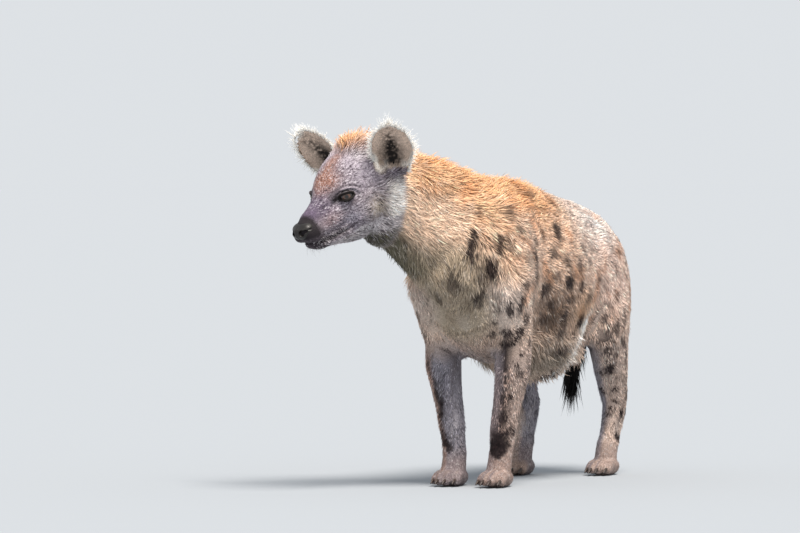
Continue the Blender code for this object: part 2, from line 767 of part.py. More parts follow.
def make_body():
    """Neck, torso and legs as one form, then parted with thin cuts."""
    forms = trunk_forms() + neck_forms() + [skull_form(), jaw_form()]
    for name, side in SIDES.items():
        forms += foreleg_forms(side) + hindleg_forms(name)
    body = blended("body", forms, BODY_GRAIN, 40, BODY_TRIANGLES, calmed=110)
    cut(body, "DIFFERENCE", [slab(Vector((0, 0, PASTERN_HEIGHT + GAP / 2)), Vector((0, 0, -1)))])
    trimmed(body, *neck_plane())
    tufts = mane_locks(body) + belly_locks(body)
    cut(body, "UNION", [object_of("tuft", mesh) for mesh in tufts])
    trimmed(body, *neck_plane())
    largest(body)
    point, normal = shoulder_plane()
    neck = cut(copy_of(body, "neck"), "DIFFERENCE", [slab(point + normal * GAP / 2, -normal)])
    finished(largest(neck), "neck", "mane")
    trimmed(body, point, normal)
    for end in ("fore", "hind"):
        for name in SIDES:
            envelope = leg_envelope(name, end)
            leg = cut(copy_of(body), "INTERSECT", [object_of("envelope", envelope)])
            finished(largest(leg), f"{end}leg_{name}", "leg")
            cut(body, "DIFFERENCE", [grown(envelope, GAP)])
    return finished(largest(body), "torso", "fur")


def make_head():
    head = blended("head", head_forms() + neck_forms(), HEAD_GRAIN, 16, HEAD_TRIANGLES)
    point, normal = neck_plane()
    cut(head, "DIFFERENCE", [slab(point + normal * GAP / 2, -normal)])
    eyes = {name: eye_frame(side, head) for name, side in SIDES.items()}
    additions = [object_of("lids", lids(*eye)) for eye in eyes.values()]
    additions += [object_of("tuft", mesh) for mesh in nape_locks(head)]
    cut(head, "UNION", additions)
    cut(head, "DIFFERENCE", [slab(point + normal * GAP / 2, -normal)])
    cut(head, "DIFFERENCE", [mouth_cutter()])
    pad, holes = nose_meshes()
    sockets = [grown(pad, GAP)]
    for name, eye in eyes.items():
        sockets.append(object_of("socket", eyeball(*eye, GAP)))
        finished(object_of("eye", eyeball(*eye)), f"eye_{name}", "eye")
    cut(head, "DIFFERENCE", sockets)
    nose = cut(object_of("nose", pad), "DIFFERENCE", [object_of("nostril", hole) for hole in holes])
    finished(largest(nose), "nose", "nose")
    for name in SIDES:
        ear = ear_mesh(name)
        for carrier in (head, bpy.data.objects["neck"]):
            cut(carrier, "DIFFERENCE", [grown(ear, GAP)])
        finished(object_of("ear", ear), f"ear_{name}", "ear")
    finished(largest(bpy.data.objects["neck"]), "neck", "mane")
    return finished(largest(head), "head", "face")


def tail_rows():
    """The tail's path from the croup down between the thighs."""
    rows = (
        (-0.385, 0.000, 0.620, 0.030, 0.030, 0.030),
        (-0.428, -0.006, 0.575, 0.028, 0.028, 0.028),
        (-0.448, -0.022, 0.490, 0.023, 0.023, 0.023),
        (-0.436, -0.038, 0.405, 0.020, 0.020, 0.020),
        (-0.416, -0.048, 0.340, 0.024, 0.024, 0.024),
        (-0.404, -0.052, 0.285, 0.022, 0.022, 0.022),
    )
    return rows


def brush_locks():
    """Long black locks that leave the end of the tail in turns and hang down."""
    draw = random.Random(8)
    made = []
    path = through(tail_rows(), 4)
    for i in range(BRUSH_LOCKS):
        share = i / (BRUSH_LOCKS - 1)
        at = path[int(round((0.56 + 0.42 * share) * (len(path) - 1)))]
        turn = i * 2.4
        around = Vector((math.cos(turn), math.sin(turn), 0))
        start = Vector(at[:3]) + around * 0.010
        out = around * 0.50 + Vector((0.12, 0, -0.80))
        lie = around * draw.uniform(-0.10, 0.10) + Vector((0.14, -0.02, -1))
        size = BRUSH_LENGTH * (0.62 + 0.16 * share) * draw.uniform(0.88, 1.08)
        made.append(lock(start, out, lie, size, 0.015, 0.010, parts=3))
    return made


def make_tail(torso):
    tail_mesh = loft(tail_rows(), (0, 1, 0), sides=14, steps=3)
    cut(torso, "DIFFERENCE", [grown(tail_mesh, GAP)])
    finished(largest(torso), "torso", "fur")
    whole = object_of("tail", tail_mesh)
    cut(whole, "UNION", [object_of("tuft", mesh) for mesh in brush_locks()])
    point, normal = Vector((-0.436, -0.026, 0.440)), Vector((0.10, -0.06, -1)).normalized()
    brush = cut(copy_of(whole), "DIFFERENCE", [slab(point + normal * GAP / 2, -normal)])
    finished(largest(brush), "tail_brush", "brush")
    trimmed(whole, point, normal)
    return finished(largest(whole), "tail", "fur")


def stand_at_origin():
    """Moves the whole animal so that the origin is under the middle of its box."""
    meshes = [thing.data for thing in bpy.context.scene.objects]
    points = np.vstack([[v.co for v in mesh.vertices] for mesh in meshes])
    middle = (points.min(axis=0) + points.max(axis=0)) / 2
    shift = Matrix.Translation((-middle[0], -middle[1], -points[:, 2].min()))
    for mesh in meshes:
        mesh.transform(shift)
    print("moved by", [round(float(-m), 5) for m in middle[:2]])


def main():
    clear_scene()
    torso = make_body()
    make_tail(torso)
    make_head()
    for end in ("fore", "hind"):
        for name in SIDES:
            make_paw(name, end)
    stand_at_origin()


main()
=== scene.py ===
# %% [markdown]
# # A spotted hyena, life size
# A museum model of a spotted hyena stands on four paws and looks to its right.
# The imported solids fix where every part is. This script gives them skin, coat, eyes, nose and claws.
# The body of the real animal is one skin, so the nodes of flesh are replaced by one mesh with no
# seam. Its coat is mesh too: more than a hundred thousand thin tufts that follow the lie of the hair.

# %% Load the frame
import json
import math

import bmesh
import bpy
import numpy as np
from mathutils import Matrix, Vector, noise
from mathutils.bvhtree import BVHTree


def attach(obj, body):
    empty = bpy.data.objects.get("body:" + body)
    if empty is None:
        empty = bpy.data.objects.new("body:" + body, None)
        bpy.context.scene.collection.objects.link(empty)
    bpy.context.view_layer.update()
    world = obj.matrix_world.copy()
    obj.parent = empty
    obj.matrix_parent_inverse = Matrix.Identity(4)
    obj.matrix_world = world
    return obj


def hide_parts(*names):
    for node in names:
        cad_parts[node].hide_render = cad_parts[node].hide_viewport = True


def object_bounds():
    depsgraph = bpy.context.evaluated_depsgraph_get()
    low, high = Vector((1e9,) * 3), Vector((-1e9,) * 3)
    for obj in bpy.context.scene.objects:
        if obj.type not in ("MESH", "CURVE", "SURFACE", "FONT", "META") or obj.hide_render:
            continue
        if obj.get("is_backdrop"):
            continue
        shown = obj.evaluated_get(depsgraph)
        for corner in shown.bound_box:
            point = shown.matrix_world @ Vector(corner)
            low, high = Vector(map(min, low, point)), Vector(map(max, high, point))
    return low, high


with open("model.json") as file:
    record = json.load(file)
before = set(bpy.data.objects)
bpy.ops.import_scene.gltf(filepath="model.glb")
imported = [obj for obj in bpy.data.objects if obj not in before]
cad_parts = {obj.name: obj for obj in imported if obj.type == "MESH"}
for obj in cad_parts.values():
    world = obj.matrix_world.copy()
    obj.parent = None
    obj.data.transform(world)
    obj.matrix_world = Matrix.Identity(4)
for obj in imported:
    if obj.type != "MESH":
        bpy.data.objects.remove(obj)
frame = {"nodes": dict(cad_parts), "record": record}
cad_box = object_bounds()
scene = bpy.context.scene
print("solids fill", [round(x, 3) for x in cad_box[0]], "to", [round(x, 3) for x in cad_box[1]])

# %% [markdown]
# ## Where the animal stands
# Its shape is laid out from a point on the floor between the legs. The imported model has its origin
# elsewhere, so the left forepaw's sole, a named mount, tells how far the two are apart.

# %% Home point
FORE_PAW_X, FORE_PAW_Y, PASTERN_HEIGHT = 0.280, 0.062, 0.085
HIND_PAW_X = {"left": -0.300, "right": -0.204}
HIND_PAW_Y = {"left": 0.092, "right": 0.104}
SIDES = {"left": 1, "right": -1}
soles = {m["name"]: Vector(m["pos_m"]) for m in frame["record"]["mounts"]}
HOME = soles["sole_forepaw_left"] - Vector((FORE_PAW_X, FORE_PAW_Y, 0))
print("home", [round(x, 4) for x in HOME])


def as_home(points):
    """Points in the body's own layout, measured from the home point."""
    return points - np.array(HOME)


# %% [markdown]
# ## Camera, floor and light
# The photo looks at the animal from its front left, almost level, through a long lens, so the
# camera is 14 m away. The floor is plain and pale, under a high soft sun and a bright sky.

# %% Camera
PHOTO_WIDTH, PHOTO_HEIGHT = 800, 533
VIEW_TURN, VIEW_RISE, VIEW_DISTANCE = math.radians(25), math.radians(3.5), 14.0
PIXELS_PER_METRE = 394.0
HOME_PIXEL = (524, 480)
focal_pixels = PIXELS_PER_METRE * VIEW_DISTANCE
VIEW_BACK = Vector((
    math.cos(VIEW_TURN) * math.cos(VIEW_RISE),
    math.sin(VIEW_TURN) * math.cos(VIEW_RISE),
    math.sin(VIEW_RISE),
))
camera = bpy.data.objects.new("camera", bpy.data.cameras.new("camera"))
scene.collection.objects.link(camera)
camera.data.sensor_width = 36
camera.data.lens = focal_pixels / PHOTO_WIDTH * camera.data.sensor_width
camera.location = HOME + VIEW_BACK * VIEW_DISTANCE
yaw = math.atan((HOME_PIXEL[0] - PHOTO_WIDTH / 2) / focal_pixels)
pitch = math.atan((HOME_PIXEL[1] - PHOTO_HEIGHT / 2) / focal_pixels)
aim = (-VIEW_BACK).to_track_quat("-Z", "Y").to_matrix()
view_axes = Matrix.Rotation(yaw, 3, "Z") @ aim @ Matrix.Rotation(pitch, 3, "X")
camera.rotation_mode = "QUATERNION"
camera.rotation_quaternion = view_axes.to_quaternion()
camera.data.clip_end = 100
scene.camera = camera
print("camera at", [round(x, 2) for x in camera.location], "lens", round(camera.data.lens), "mm")


def sight_line(pixel):
    """The direction from the camera through a pixel of the photo."""
    x, y = pixel
    ray = Vector((x - PHOTO_WIDTH / 2, PHOTO_HEIGHT / 2 - y, -focal_pixels))
    return (view_axes @ ray).normalized()


# %% Colours and material helpers
def linear(colour):
    """An sRGB hex colour as linear light."""
    parts = [int(colour[i : i + 2], 16) / 255 for i in (1, 3, 5)]
    return tuple(c / 12.92 if c <= 0.04045 else ((c + 0.055) / 1.055) ** 2.4 for c in parts)


def new_material(name, constants=None):
    """A material, its tree and its shader, with the constants on the shader's own sockets."""
    made = bpy.data.materials.new(name)
    made.use_nodes = True
    shader = made.node_tree.nodes["Principled BSDF"]
    for key, value in (constants or {}).items():
        shader.inputs[key].default_value = value
    return made, made.node_tree, shader


def add_node(tree, kind, settings=None, inputs=None, links=None):
    """One node, with its settings, the values of its inputs, and what feeds them."""
    node = tree.nodes.new(kind)
    for key, value in (settings or {}).items():
        setattr(node, key, value)
    for key, value in (inputs or {}).items():
        node.inputs[key].default_value = value
    for key, source in (links or {}).items():
        tree.links.new(source, node.inputs[key])
    return node


# %% Sun, sky and floor
def object_of(name, mesh):
    made = bpy.data.objects.new(name, mesh)
    scene.collection.objects.link(made)
    return made


SUN_POWER, SKY_POWER, SUN_WIDTH = 4.9, 0.92, math.radians(26)
SUN_WAY = Vector((-0.30, -0.38, -1.0)).normalized()
SUN_COLOUR, SKY_COLOUR = linear("#FFF7EE"), linear("#E6EAEE")
sun = object_of("high_soft_sun", bpy.data.lights.new("high_soft_sun", "SUN"))
sun.data.energy = SUN_POWER
sun.data.angle = SUN_WIDTH
sun.data.color = SUN_COLOUR
sun.rotation_mode = "QUATERNION"
sun.rotation_quaternion = SUN_WAY.to_track_quat("-Z", "Y")
world = bpy.data.worlds.new("pale_sky")
world.use_nodes = True
world.node_tree.nodes["Background"].inputs["Color"].default_value = (*SKY_COLOUR, 1)
world.node_tree.nodes["Background"].inputs["Strength"].default_value = SKY_POWER
scene.world = world
scene.view_settings.view_transform = "Standard"

# %% [markdown]
# ### Floor
# Matt studio paper, rolled smooth, gives no gloss. Its grey is worked out so that it returns as much
# light as the sky behind it, which hides the horizon.

# %% Floor
FLOOR_HALF = 90.0
floor_corners = [(x * FLOOR_HALF, y * FLOOR_HALF, 0) for x, y in ((-1, -1), (1, -1), (1, 1), (-1, 1))]
floor_mesh = bpy.data.meshes.new("floor")
floor_mesh.from_pydata(floor_corners, [], [(0, 1, 2, 3)])
floor = object_of("floor", floor_mesh)
floor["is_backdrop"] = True
shares = []
for sky, sunlight in zip(SKY_COLOUR, SUN_COLOUR):
    shares.append(sky * SKY_POWER / (sky * SKY_POWER + sunlight * SUN_POWER * -SUN_WAY.z / math.pi))
paper, _, _ = new_material(
    "matt_studio_paper", {"Base Color": (*shares, 1), "Roughness": 1.0, "Specular IOR Level": 0.0}
)
floor_mesh.materials.append(paper)
print("floor returns", [round(share, 3) for share in shares], "of the light")

# %% [markdown]
# ## The flesh
# A sculptor builds an animal from a few simple masses and melts them together. The same is done
# here: lofts through rows of place and size, and a few ellipsoids, are joined, turned into one
# surface by a voxel remesh, and smoothed. Rows are read along a smooth curve.

# %% A smooth curve through rows
def through(rows, steps):
    """Rows read along a smooth curve that passes through the given ones."""
    rows = np.array(rows, float)
    ends = np.vstack([2 * rows[0] - rows[1], rows, 2 * rows[-1] - rows[-2]])
    dense = []
    for a, b, c, d in zip(ends, ends[1:], ends[2:], ends[3:]):
        for t in np.arange(steps) / steps:
            bend = (2 * a - 5 * b + 4 * c - d) * t**2 + (3 * b - 3 * c + d - a) * t**3
            dense.append((2 * b + (c - a) * t + bend) / 2)
    return np.array([*dense, rows[-1]])


def unit(vectors):
    return vectors / np.maximum(np.linalg.norm(vectors, axis=-1, keepdims=True), 1e-12)


def square_to(ways, others):
    """The unit directions nearest to these that stand square to the others."""
    return unit(ways - others * (ways * others).sum(axis=1, keepdims=True))


def on_path(path, at):
    """Points on a path, each by how many of its stations it lies along."""
    low = np.minimum(at.astype(int), len(path) - 2)
    return path[low] + (path[low + 1] - path[low]) * (at - low)[:, None]


# %% Loft
def mesh_of(name, points, faces):
    """A mesh of triangles whose faces point outwards."""
    mesh = bpy.data.meshes.new(name)
    mesh.from_pydata([tuple(p) for p in points], [], faces)
    work = bmesh.new()
    work.from_mesh(mesh)
    bmesh.ops.recalc_face_normals(work, faces=work.faces)
    bmesh.ops.triangulate(work, faces=work.faces)
    work.to_mesh(mesh)
    work.free()
    return mesh


def body_point(x, y, z):
    return HOME + Vector((x, y, z))


def loft(rows, across, sides=32, steps=6, frame_at=body_point, squareness=1.0):
    """A closed form with round ends, through rows of place, half width, upper and lower half height."""
    rows = through(rows, steps)
    path = unit(np.gradient(rows[:, :3], axis=0))
    width = unit(np.cross(np.array(across, float), path))
    height = np.cross(path, width)
    turns = np.arange(sides) / sides * 2 * math.pi
    side, rise = [np.sign(w) * np.abs(w) ** squareness for w in (np.cos(turns), np.sin(turns))]
    last = len(rows) - 1
    near = [(0, -1, math.radians(a)) for a in (68, 40)]
    far = [(last, 1, math.radians(a)) for a in (40, 68)]
    rings = []
    for i, way, angle in [*near, *((i, 0, 0) for i in range(last + 1)), *far]:
        centre = rows[i, :3] + path[i] * way * 0.9 * rows[i, 3:].min() * math.sin(angle)
        wide, high, low = rows[i, 3:] * math.cos(angle)
        lift = np.where(rise > 0, high, low) * rise
        rings.append(centre + np.outer(side * wide, width[i]) + np.outer(lift, height[i]))
    poles = [rows[i, :3] + path[i] * way * 0.9 * rows[i, 3:].min() for i, way in ((0, -1), (last, 1))]
    points = [frame_at(*p) for p in np.vstack([*rings, *poles])]
    count, faces = len(rings) * sides, []
    for r in range(len(rings) - 1):
        for s in range(sides):
            a, b = r * sides + s, r * sides + (s + 1) % sides
            faces.append((a, b, b + sides, a + sides))
    for s in range(sides):
        faces.append((count, (s + 1) % sides, s))
        faces.append((count + 1, count - sides + s, count - sides + (s + 1) % sides))
    return mesh_of("loft", points, faces)


# %% Ellipsoid and melting
def ball(centre, radii, axes=None, fineness=4):
    """An ellipsoid, with its radii along the columns of axes."""
    work = bmesh.new()
    bmesh.ops.create_icosphere(work, subdivisions=fineness, radius=1)
    turn = (axes or Matrix.Identity(3)).to_4x4()
    place = Matrix.Translation(centre) @ turn @ Matrix.Diagonal((*radii, 1))
    bmesh.ops.transform(work, matrix=place, verts=work.verts)
    mesh = bpy.data.meshes.new("ball")
    work.to_mesh(mesh)
    work.free()
    return mesh


def joined(name, meshes):
    work = bmesh.new()
    for mesh in meshes:
        work.from_mesh(mesh)
    made = bpy.data.meshes.new(name)
    work.to_mesh(made)
    work.free()
    return object_of(name, made)


def applied(thing):
    """The object with its mesh replaced by what its modifiers make of it."""
    graph = bpy.context.evaluated_depsgraph_get()
    mesh = bpy.data.meshes.new_from_object(thing.evaluated_get(graph))
    thing.modifiers.clear()
    thing.data = mesh
    return thing


def melted(thing, grain, rounds):
    """Overlapping forms made one surface, and smoothed."""
    melt = thing.modifiers.new("melt", "REMESH")
    melt.mode = "VOXEL"
    melt.voxel_size = grain
    relax = thing.modifiers.new("relax", "SMOOTH")
    relax.factor = 0.5
    relax.iterations = rounds
    return applied(thing)


# %% Points and normals as arrays
def points_of(mesh):
    flat = np.empty(len(mesh.vertices) * 3)
    mesh.vertices.foreach_get("co", flat)
    return flat.reshape(-1, 3)


def put_points(mesh, points):
    mesh.vertices.foreach_set("co", np.ascontiguousarray(points, np.float32).ravel())
    mesh.update()


def normals_of(mesh):
    flat = np.empty(len(mesh.vertices) * 3, np.float32)
    mesh.vertex_normals.foreach_get("vector", flat)
    return flat.reshape(-1, 3).astype(float)


# %% [markdown]
# ### Trunk and neck
# A spotted hyena is tall at the withers and slopes down to the rump, with a deep chest, a full
# belly and a thick, long neck that carries the head level with the back.

# %% Trunk and neck forms
WITHERS_HEIGHT, MID_BACK_HEIGHT, CROUP_HEIGHT = 0.768, 0.743, 0.708
BELLY_HEIGHT, GROIN_HEIGHT = 0.280, 0.315


def trunk_forms():
    rows = []
    for x, top, bottom, half_width in (
        (-0.385, 0.655, 0.440, 0.098),
        (-0.300, CROUP_HEIGHT, 0.365, 0.146),
        (-0.190, 0.727, GROIN_HEIGHT, 0.157),
        (-0.050, MID_BACK_HEIGHT, BELLY_HEIGHT, 0.164),
        (0.090, 0.752, 0.288, 0.163),
        (0.220, WITHERS_HEIGHT, 0.310, 0.148),
        (0.320, 0.754, 0.352, 0.124),
        (0.385, 0.690, 0.420, 0.090),
    ):
        middle = (top + bottom) / 2 + 0.02
        rows.append((x, 0, middle, half_width, top - middle, middle - bottom))
    forms = [loft(rows, (0, 0, 1), sides=48)]
    for side in SIDES.values():
        forms.append(ball(body_point(0.266, 0.097 * side, 0.555), (0.118, 0.066, 0.155)))
        forms.append(ball(body_point(-0.270, 0.088 * side, 0.520), (0.120, 0.076, 0.130)))
    forms.append(ball(body_point(0.320, 0.000, 0.480), (0.088, 0.110, 0.135)))
    forms.append(ball(body_point(0.320, 0.022, 0.625), (0.105, 0.104, 0.125)))
    return forms


def neck_forms():
    rows = (
        (0.225, 0.000, 0.590, 0.120, 0.165, 0.190),
        (0.330, -0.026, 0.640, 0.114, 0.140, 0.172),
        (0.425, -0.078, 0.696, 0.102, 0.122, 0.138),
        (0.500, -0.124, 0.736, 0.095, 0.102, 0.126),
        (0.565, -0.158, 0.760, 0.088, 0.086, 0.112),
    )
    return [loft(rows, (0, 0, 1), sides=40)]


# %% [markdown]
# ### Head
# The head has a frame of its own at the tip of the nose: x along the muzzle, y to its left and z
# out of its crown. It is turned 20 degrees to the right and the muzzle dips 22 degrees.

# %% Head forms
NOSE_TIP = Vector((0.783, -0.253, 0.645))
HEAD_TURN, MUZZLE_DIP = math.radians(20), math.radians(22)
head_axes = Matrix.Rotation(-HEAD_TURN, 3, "Z") @ Matrix.Rotation(MUZZLE_DIP, 3, "Y")


def head_point(along, left, up):
    return HOME + NOSE_TIP + head_axes @ Vector((along, left, up))


def head_direction(along, left, up):
    return (head_axes @ Vector((along, left, up))).normalized()


def in_head(points):
    """Points of the model in the head's own frame."""
    return (as_home(points) - np.array(NOSE_TIP)) @ np.array(head_axes)


def head_ball(place, radii):
    return ball(head_point(*place), radii, head_axes)


def head_loft(rows, sides, squareness=0.86):
    return loft(rows, (0, 0, 1), sides=sides, frame_at=head_point, squareness=squareness)


def skull_form():
    rows = []
    for along, half_width, top, bottom in (
        (-0.034, 0.030, 0.010, -0.047),
        (-0.050, 0.036, 0.015, -0.054),
        (-0.085, 0.041, 0.031, -0.059),
        (-0.125, 0.051, 0.057, -0.062),
        (-0.175, 0.074, 0.093, -0.060),
        (-0.225, 0.086, 0.117, -0.056),
        (-0.275, 0.082, 0.122, -0.050),
    ):
        middle = 0.55 * bottom + 0.45 * top
        rows.append((along, 0, middle, half_width, top - middle, middle - bottom))
    return head_loft(rows, 48)


def jaw_form():
    rows = []
    for along, half_width, top, bottom in (
        (-0.044, 0.021, -0.044, -0.070),
        (-0.060, 0.029, -0.040, -0.077),
        (-0.105, 0.037, -0.036, -0.087),
        (-0.155, 0.051, -0.020, -0.093),
        (-0.205, 0.063, 0.000, -0.089),
        (-0.245, 0.060, 0.010, -0.078),
    ):
        middle = (top + bottom) / 2
        rows.append((along, 0, middle, half_width, top - middle, middle - bottom))
    return head_loft(rows, 40)


def head_forms():
    forms = [skull_form(), jaw_form()]
    for side in SIDES.values():
        for along, out, up, radii in (
            (-0.146, 0.039, 0.046, (0.025, 0.017, 0.013)),
            (-0.200, 0.050, -0.012, (0.060, 0.040, 0.058)),
            (-0.046, 0.017, -0.026, (0.034, 0.022, 0.026)),
            (-0.250, 0.068, 0.046, (0.036, 0.030, 0.038)),
        ):
            forms.append(head_ball((along, out * side, up), radii))
    return forms


# %% [markdown]
# ### Legs and paws
# The forelegs are long, straight columns. The hind legs are shorter, with a strong thigh and a hock
# well above the ground. Each paw has four toes with a claw each.

# %% Leg and paw forms
SHOULDER_X, HIP_X = 0.300, -0.270


def foreleg_forms(side):
    arm = (
        (SHOULDER_X + 0.030, 0.116 * side, 0.510, 0.056, 0.062, 0.070),
        (SHOULDER_X - 0.005, 0.108 * side, 0.430, 0.056, 0.064, 0.072),
        (SHOULDER_X - 0.035, 0.102 * side, 0.365, 0.051, 0.054, 0.058),
    )
    forearm = (
        (SHOULDER_X - 0.030, 0.101 * side, 0.370, 0.050, 0.052, 0.058),
        (SHOULDER_X - 0.030, 0.092 * side, 0.290, 0.043, 0.045, 0.047),
        (SHOULDER_X - 0.030, 0.079 * side, 0.200, 0.037, 0.038, 0.038),
        (SHOULDER_X - 0.028, 0.070 * side, 0.145, 0.035, 0.036, 0.036),
        (FORE_PAW_X - 0.008, 0.064 * side, 0.085, 0.031, 0.031, 0.032),
        (FORE_PAW_X + 0.004, FORE_PAW_Y * side, 0.030, 0.033, 0.034, 0.034),
    )
    return [loft(arm, (1, 0, 0)), loft(forearm, (1, 0, 0))]


def hindleg_forms(name):
    side, paw, wide = SIDES[name], HIND_PAW_X[name], HIND_PAW_Y[name]
    lead = paw - HIND_PAW_X["left"]
    thigh = (
        (HIP_X - 0.010 + 0.2 * lead, 0.100 * side, 0.520, 0.066, 0.105, 0.110),
        (HIP_X + 0.010 + 0.4 * lead, 0.114 * side, 0.430, 0.060, 0.095, 0.105),
        (HIP_X + 0.018 + 0.6 * lead, (wide + 0.023) * side, 0.360, 0.052, 0.076, 0.088),
    )
    shank = (
        (HIP_X + 0.012 + 0.6 * lead, (wide + 0.023) * side, 0.380, 0.052, 0.074, 0.078),
        (HIP_X - 0.018 + 0.7 * lead, (wide + 0.017) * side, 0.300, 0.047, 0.056, 0.060),
        (paw - 0.028, (wide + 0.008) * side, 0.230, 0.039, 0.044, 0.046),
        (paw - 0.048, (wide + 0.004) * side, 0.180, 0.033, 0.038, 0.042),
        (paw - 0.032, (wide + 0.002) * side, 0.120, 0.029, 0.031, 0.032),
        (paw - 0.010, wide * side, 0.070, 0.029, 0.030, 0.029),
        (paw + 0.002, wide * side, 0.030, 0.031, 0.032, 0.032),
    )
    return [loft(thigh, (1, 0, 0)), loft(shank, (1, 0, 0))]


TOE_SHIFTS = (-1.5, -0.5, 0.5, 1.5)
PAWS = {}
for name, side in SIDES.items():
    PAWS["fore", name] = (FORE_PAW_X, FORE_PAW_Y * side, 1.0)
    PAWS["hind", name] = (HIND_PAW_X[name], HIND_PAW_Y[name] * side, 0.90)


def toe_place(shift, wide):
    """How far a toe reaches ahead, and how far it is to the side."""
    return (0.066 if abs(shift) < 1 else 0.050), shift * 0.0195 * wide


def paw_forms(x, y, wide):
    pad = (
        (x - 0.034, y, 0.022, 0.026, 0.020, 0.026),
        (x + 0.000, y, 0.026, 0.035, 0.026, 0.030),
        (x + 0.030, y, 0.022, 0.034, 0.020, 0.026),
    )
    forms = [loft(pad, (0, 0, 1))]
    for shift in TOE_SHIFTS:
        reach, spread = toe_place(shift, wide)
        forms.append(loft((
            (x + 0.012, y + spread * 0.72, 0.032, 0.0125, 0.013, 0.016),
            (x + reach - 0.018, y + spread * 0.95, 0.026, 0.0125, 0.013, 0.022),
            (x + reach, y + spread, 0.015, 0.0108, 0.010, 0.014),
        ), (0, 0, 1), sides=20))
    return forms


# %% [markdown]
# ### Ears and tail
# The ears are big, round cups with thin walls. The tail is short, and only its end carries the
# brush, so its flesh is a plain taper.

# %% Ear and tail forms
EAR_LENGTH, EAR_HALF_WIDTH, EAR_CUP, EAR_WALL = 0.134, 0.053, 0.032, 0.007
EAR_ROOT = (-0.269, 0.111, 0.041)
EAR_RISE = {"left": (0.40, 0.27, 0.87), "right": (0.22, -0.67, 0.71)}
EAR_FACE = {"left": (0.75, 0.60, -0.10), "right": (0.93, -0.12, -0.12)}


def ear_axes(name):
    """The ear's root, and its directions: up its length, out of its hollow, and across."""
    turn = Matrix.Rotation(-HEAD_TURN, 3, "Z")
    rise = (turn @ Vector(EAR_RISE[name])).normalized()
    face = turn @ Vector(EAR_FACE[name])
    face = (face - rise * face.dot(rise)).normalized()
    root = head_point(EAR_ROOT[0], EAR_ROOT[1] * SIDES[name], EAR_ROOT[2])
    return root, rise, face, rise.cross(face)


def ear_half_width(v):
    tip = np.sqrt(np.maximum(0.0, 1 - np.maximum(0, (v - 0.45) / 0.55) ** 2.1))
    return EAR_HALF_WIDTH * (0.52 + 0.48 * np.minimum(1, v / 0.42)) * np.maximum(0.16, tip)


def ear_form(name, rows=30, columns=22, margin=0.0015):
    """A cup of even wall whose rim rounds over, a little inside the solid ear."""
    root, rise, face, across = ear_axes(name)
    inner, outer = [], []
    for i in range(rows + 1):
        v = i / rows
        height = (EAR_LENGTH - margin) * (1.12 * v - 0.12)
        half = float(ear_half_width(v)) - margin
        depth = EAR_CUP * min(1, max(0, (v - 0.10) / 0.22)) * (1 - 0.55 * v)
        back = EAR_CUP * (1.0 - 0.55 * v) + EAR_WALL
        curl = 0.020 * v * v
        for j in range(columns + 1):
            t = 2 * j / columns - 1
            hollow = math.sqrt(max(0, 1 - t * t))
            place = root + rise * height + across * half * t + face * (curl - 0.006)
            inner.append(place - face * depth * hollow)
            outer.append(place - face * (back * hollow * 0.92 + 0.0050))
    wide, count, faces = columns + 1, len(inner), []
    for i in range(rows):
        for j in range(columns):
            a = i * wide + j
            faces.append((a, a + 1, a + 1 + wide, a + wide))
            faces.append((count + a, count + a + wide, count + a + 1 + wide, count + a + 1))
        for j in (0, columns):
            a = i * wide + j
            faces.append((a, a + wide, count + a + wide, count + a))
    for i in (0, rows):
        for j in range(columns):
            a = i * wide + j
            faces.append((a, count + a, count + a + 1, a + 1))
    return mesh_of("ear", inner + outer, faces)


TAIL_ROWS = (
    (-0.385, 0.000, 0.620, 0.030, 0.030, 0.030),
    (-0.428, -0.006, 0.575, 0.028, 0.028, 0.028),
    (-0.448, -0.022, 0.490, 0.023, 0.023, 0.023),
    (-0.436, -0.038, 0.405, 0.020, 0.020, 0.020),
    (-0.416, -0.048, 0.340, 0.024, 0.024, 0.024),
    (-0.404, -0.052, 0.285, 0.022, 0.022, 0.022),
)

# %% [markdown]
# ### One skin
# Trunk and legs are melted coarsely, the head and paws finely, as each needs. Each is clipped a
# little past the plane where it meets the next, and all of them are melted once more, together
# with ears and tail, so that no seam is left. Then the skin is drawn in by the depth of the coat.

# %% Clip and calm a form
CALM_HEIGHT, CALM_RISE, CALM_ROUNDS = 0.40, 0.10, 110


def clipped(thing, point, normal):
    """Cuts off what lies beyond a plane and closes the hole."""
    work = bmesh.new()
    work.from_mesh(thing.data)
    geometry = work.verts[:] + work.edges[:] + work.faces[:]
    found = bmesh.ops.bisect_plane(
        work, geom=geometry, plane_co=point, plane_no=normal, clear_outer=True, dist=1e-6
    )
    rim = [g for g in found["geom_cut"] if isinstance(g, bmesh.types.BMEdge)]
    bmesh.ops.holes_fill(work, edges=rim, sides=0)
    work.to_mesh(thing.data)
    work.free()
    return thing


def calmed(thing, rounds):
    """More smoothing above the elbows, where the masses should flow into one another."""
    high = thing.vertex_groups.new(name="high")
    for index, height in enumerate(as_home(points_of(thing.data))[:, 2]):
        high.add([index], min(1, max(0, (height - CALM_HEIGHT) / CALM_RISE)), "REPLACE")
    calm = thing.modifiers.new("calm", "SMOOTH")
    calm.factor = 0.5
    calm.iterations = rounds
    calm.vertex_group = "high"
    applied(thing)
    thing.vertex_groups.clear()
    return thing


# %% Melt the skin
BODY_GRAIN, HEAD_GRAIN, PAW_GRAIN, SKIN_GRAIN = 0.0060, 0.0035, 0.0025, 0.0028
NECK_CUT, OVERLAP = -0.262, 0.006
neck_normal = Matrix.Rotation(-HEAD_TURN, 3, "Z") @ Vector((1, 0, 0))
neck_point = HOME + NOSE_TIP + neck_normal * NECK_CUT
up = Vector((0, 0, 1))

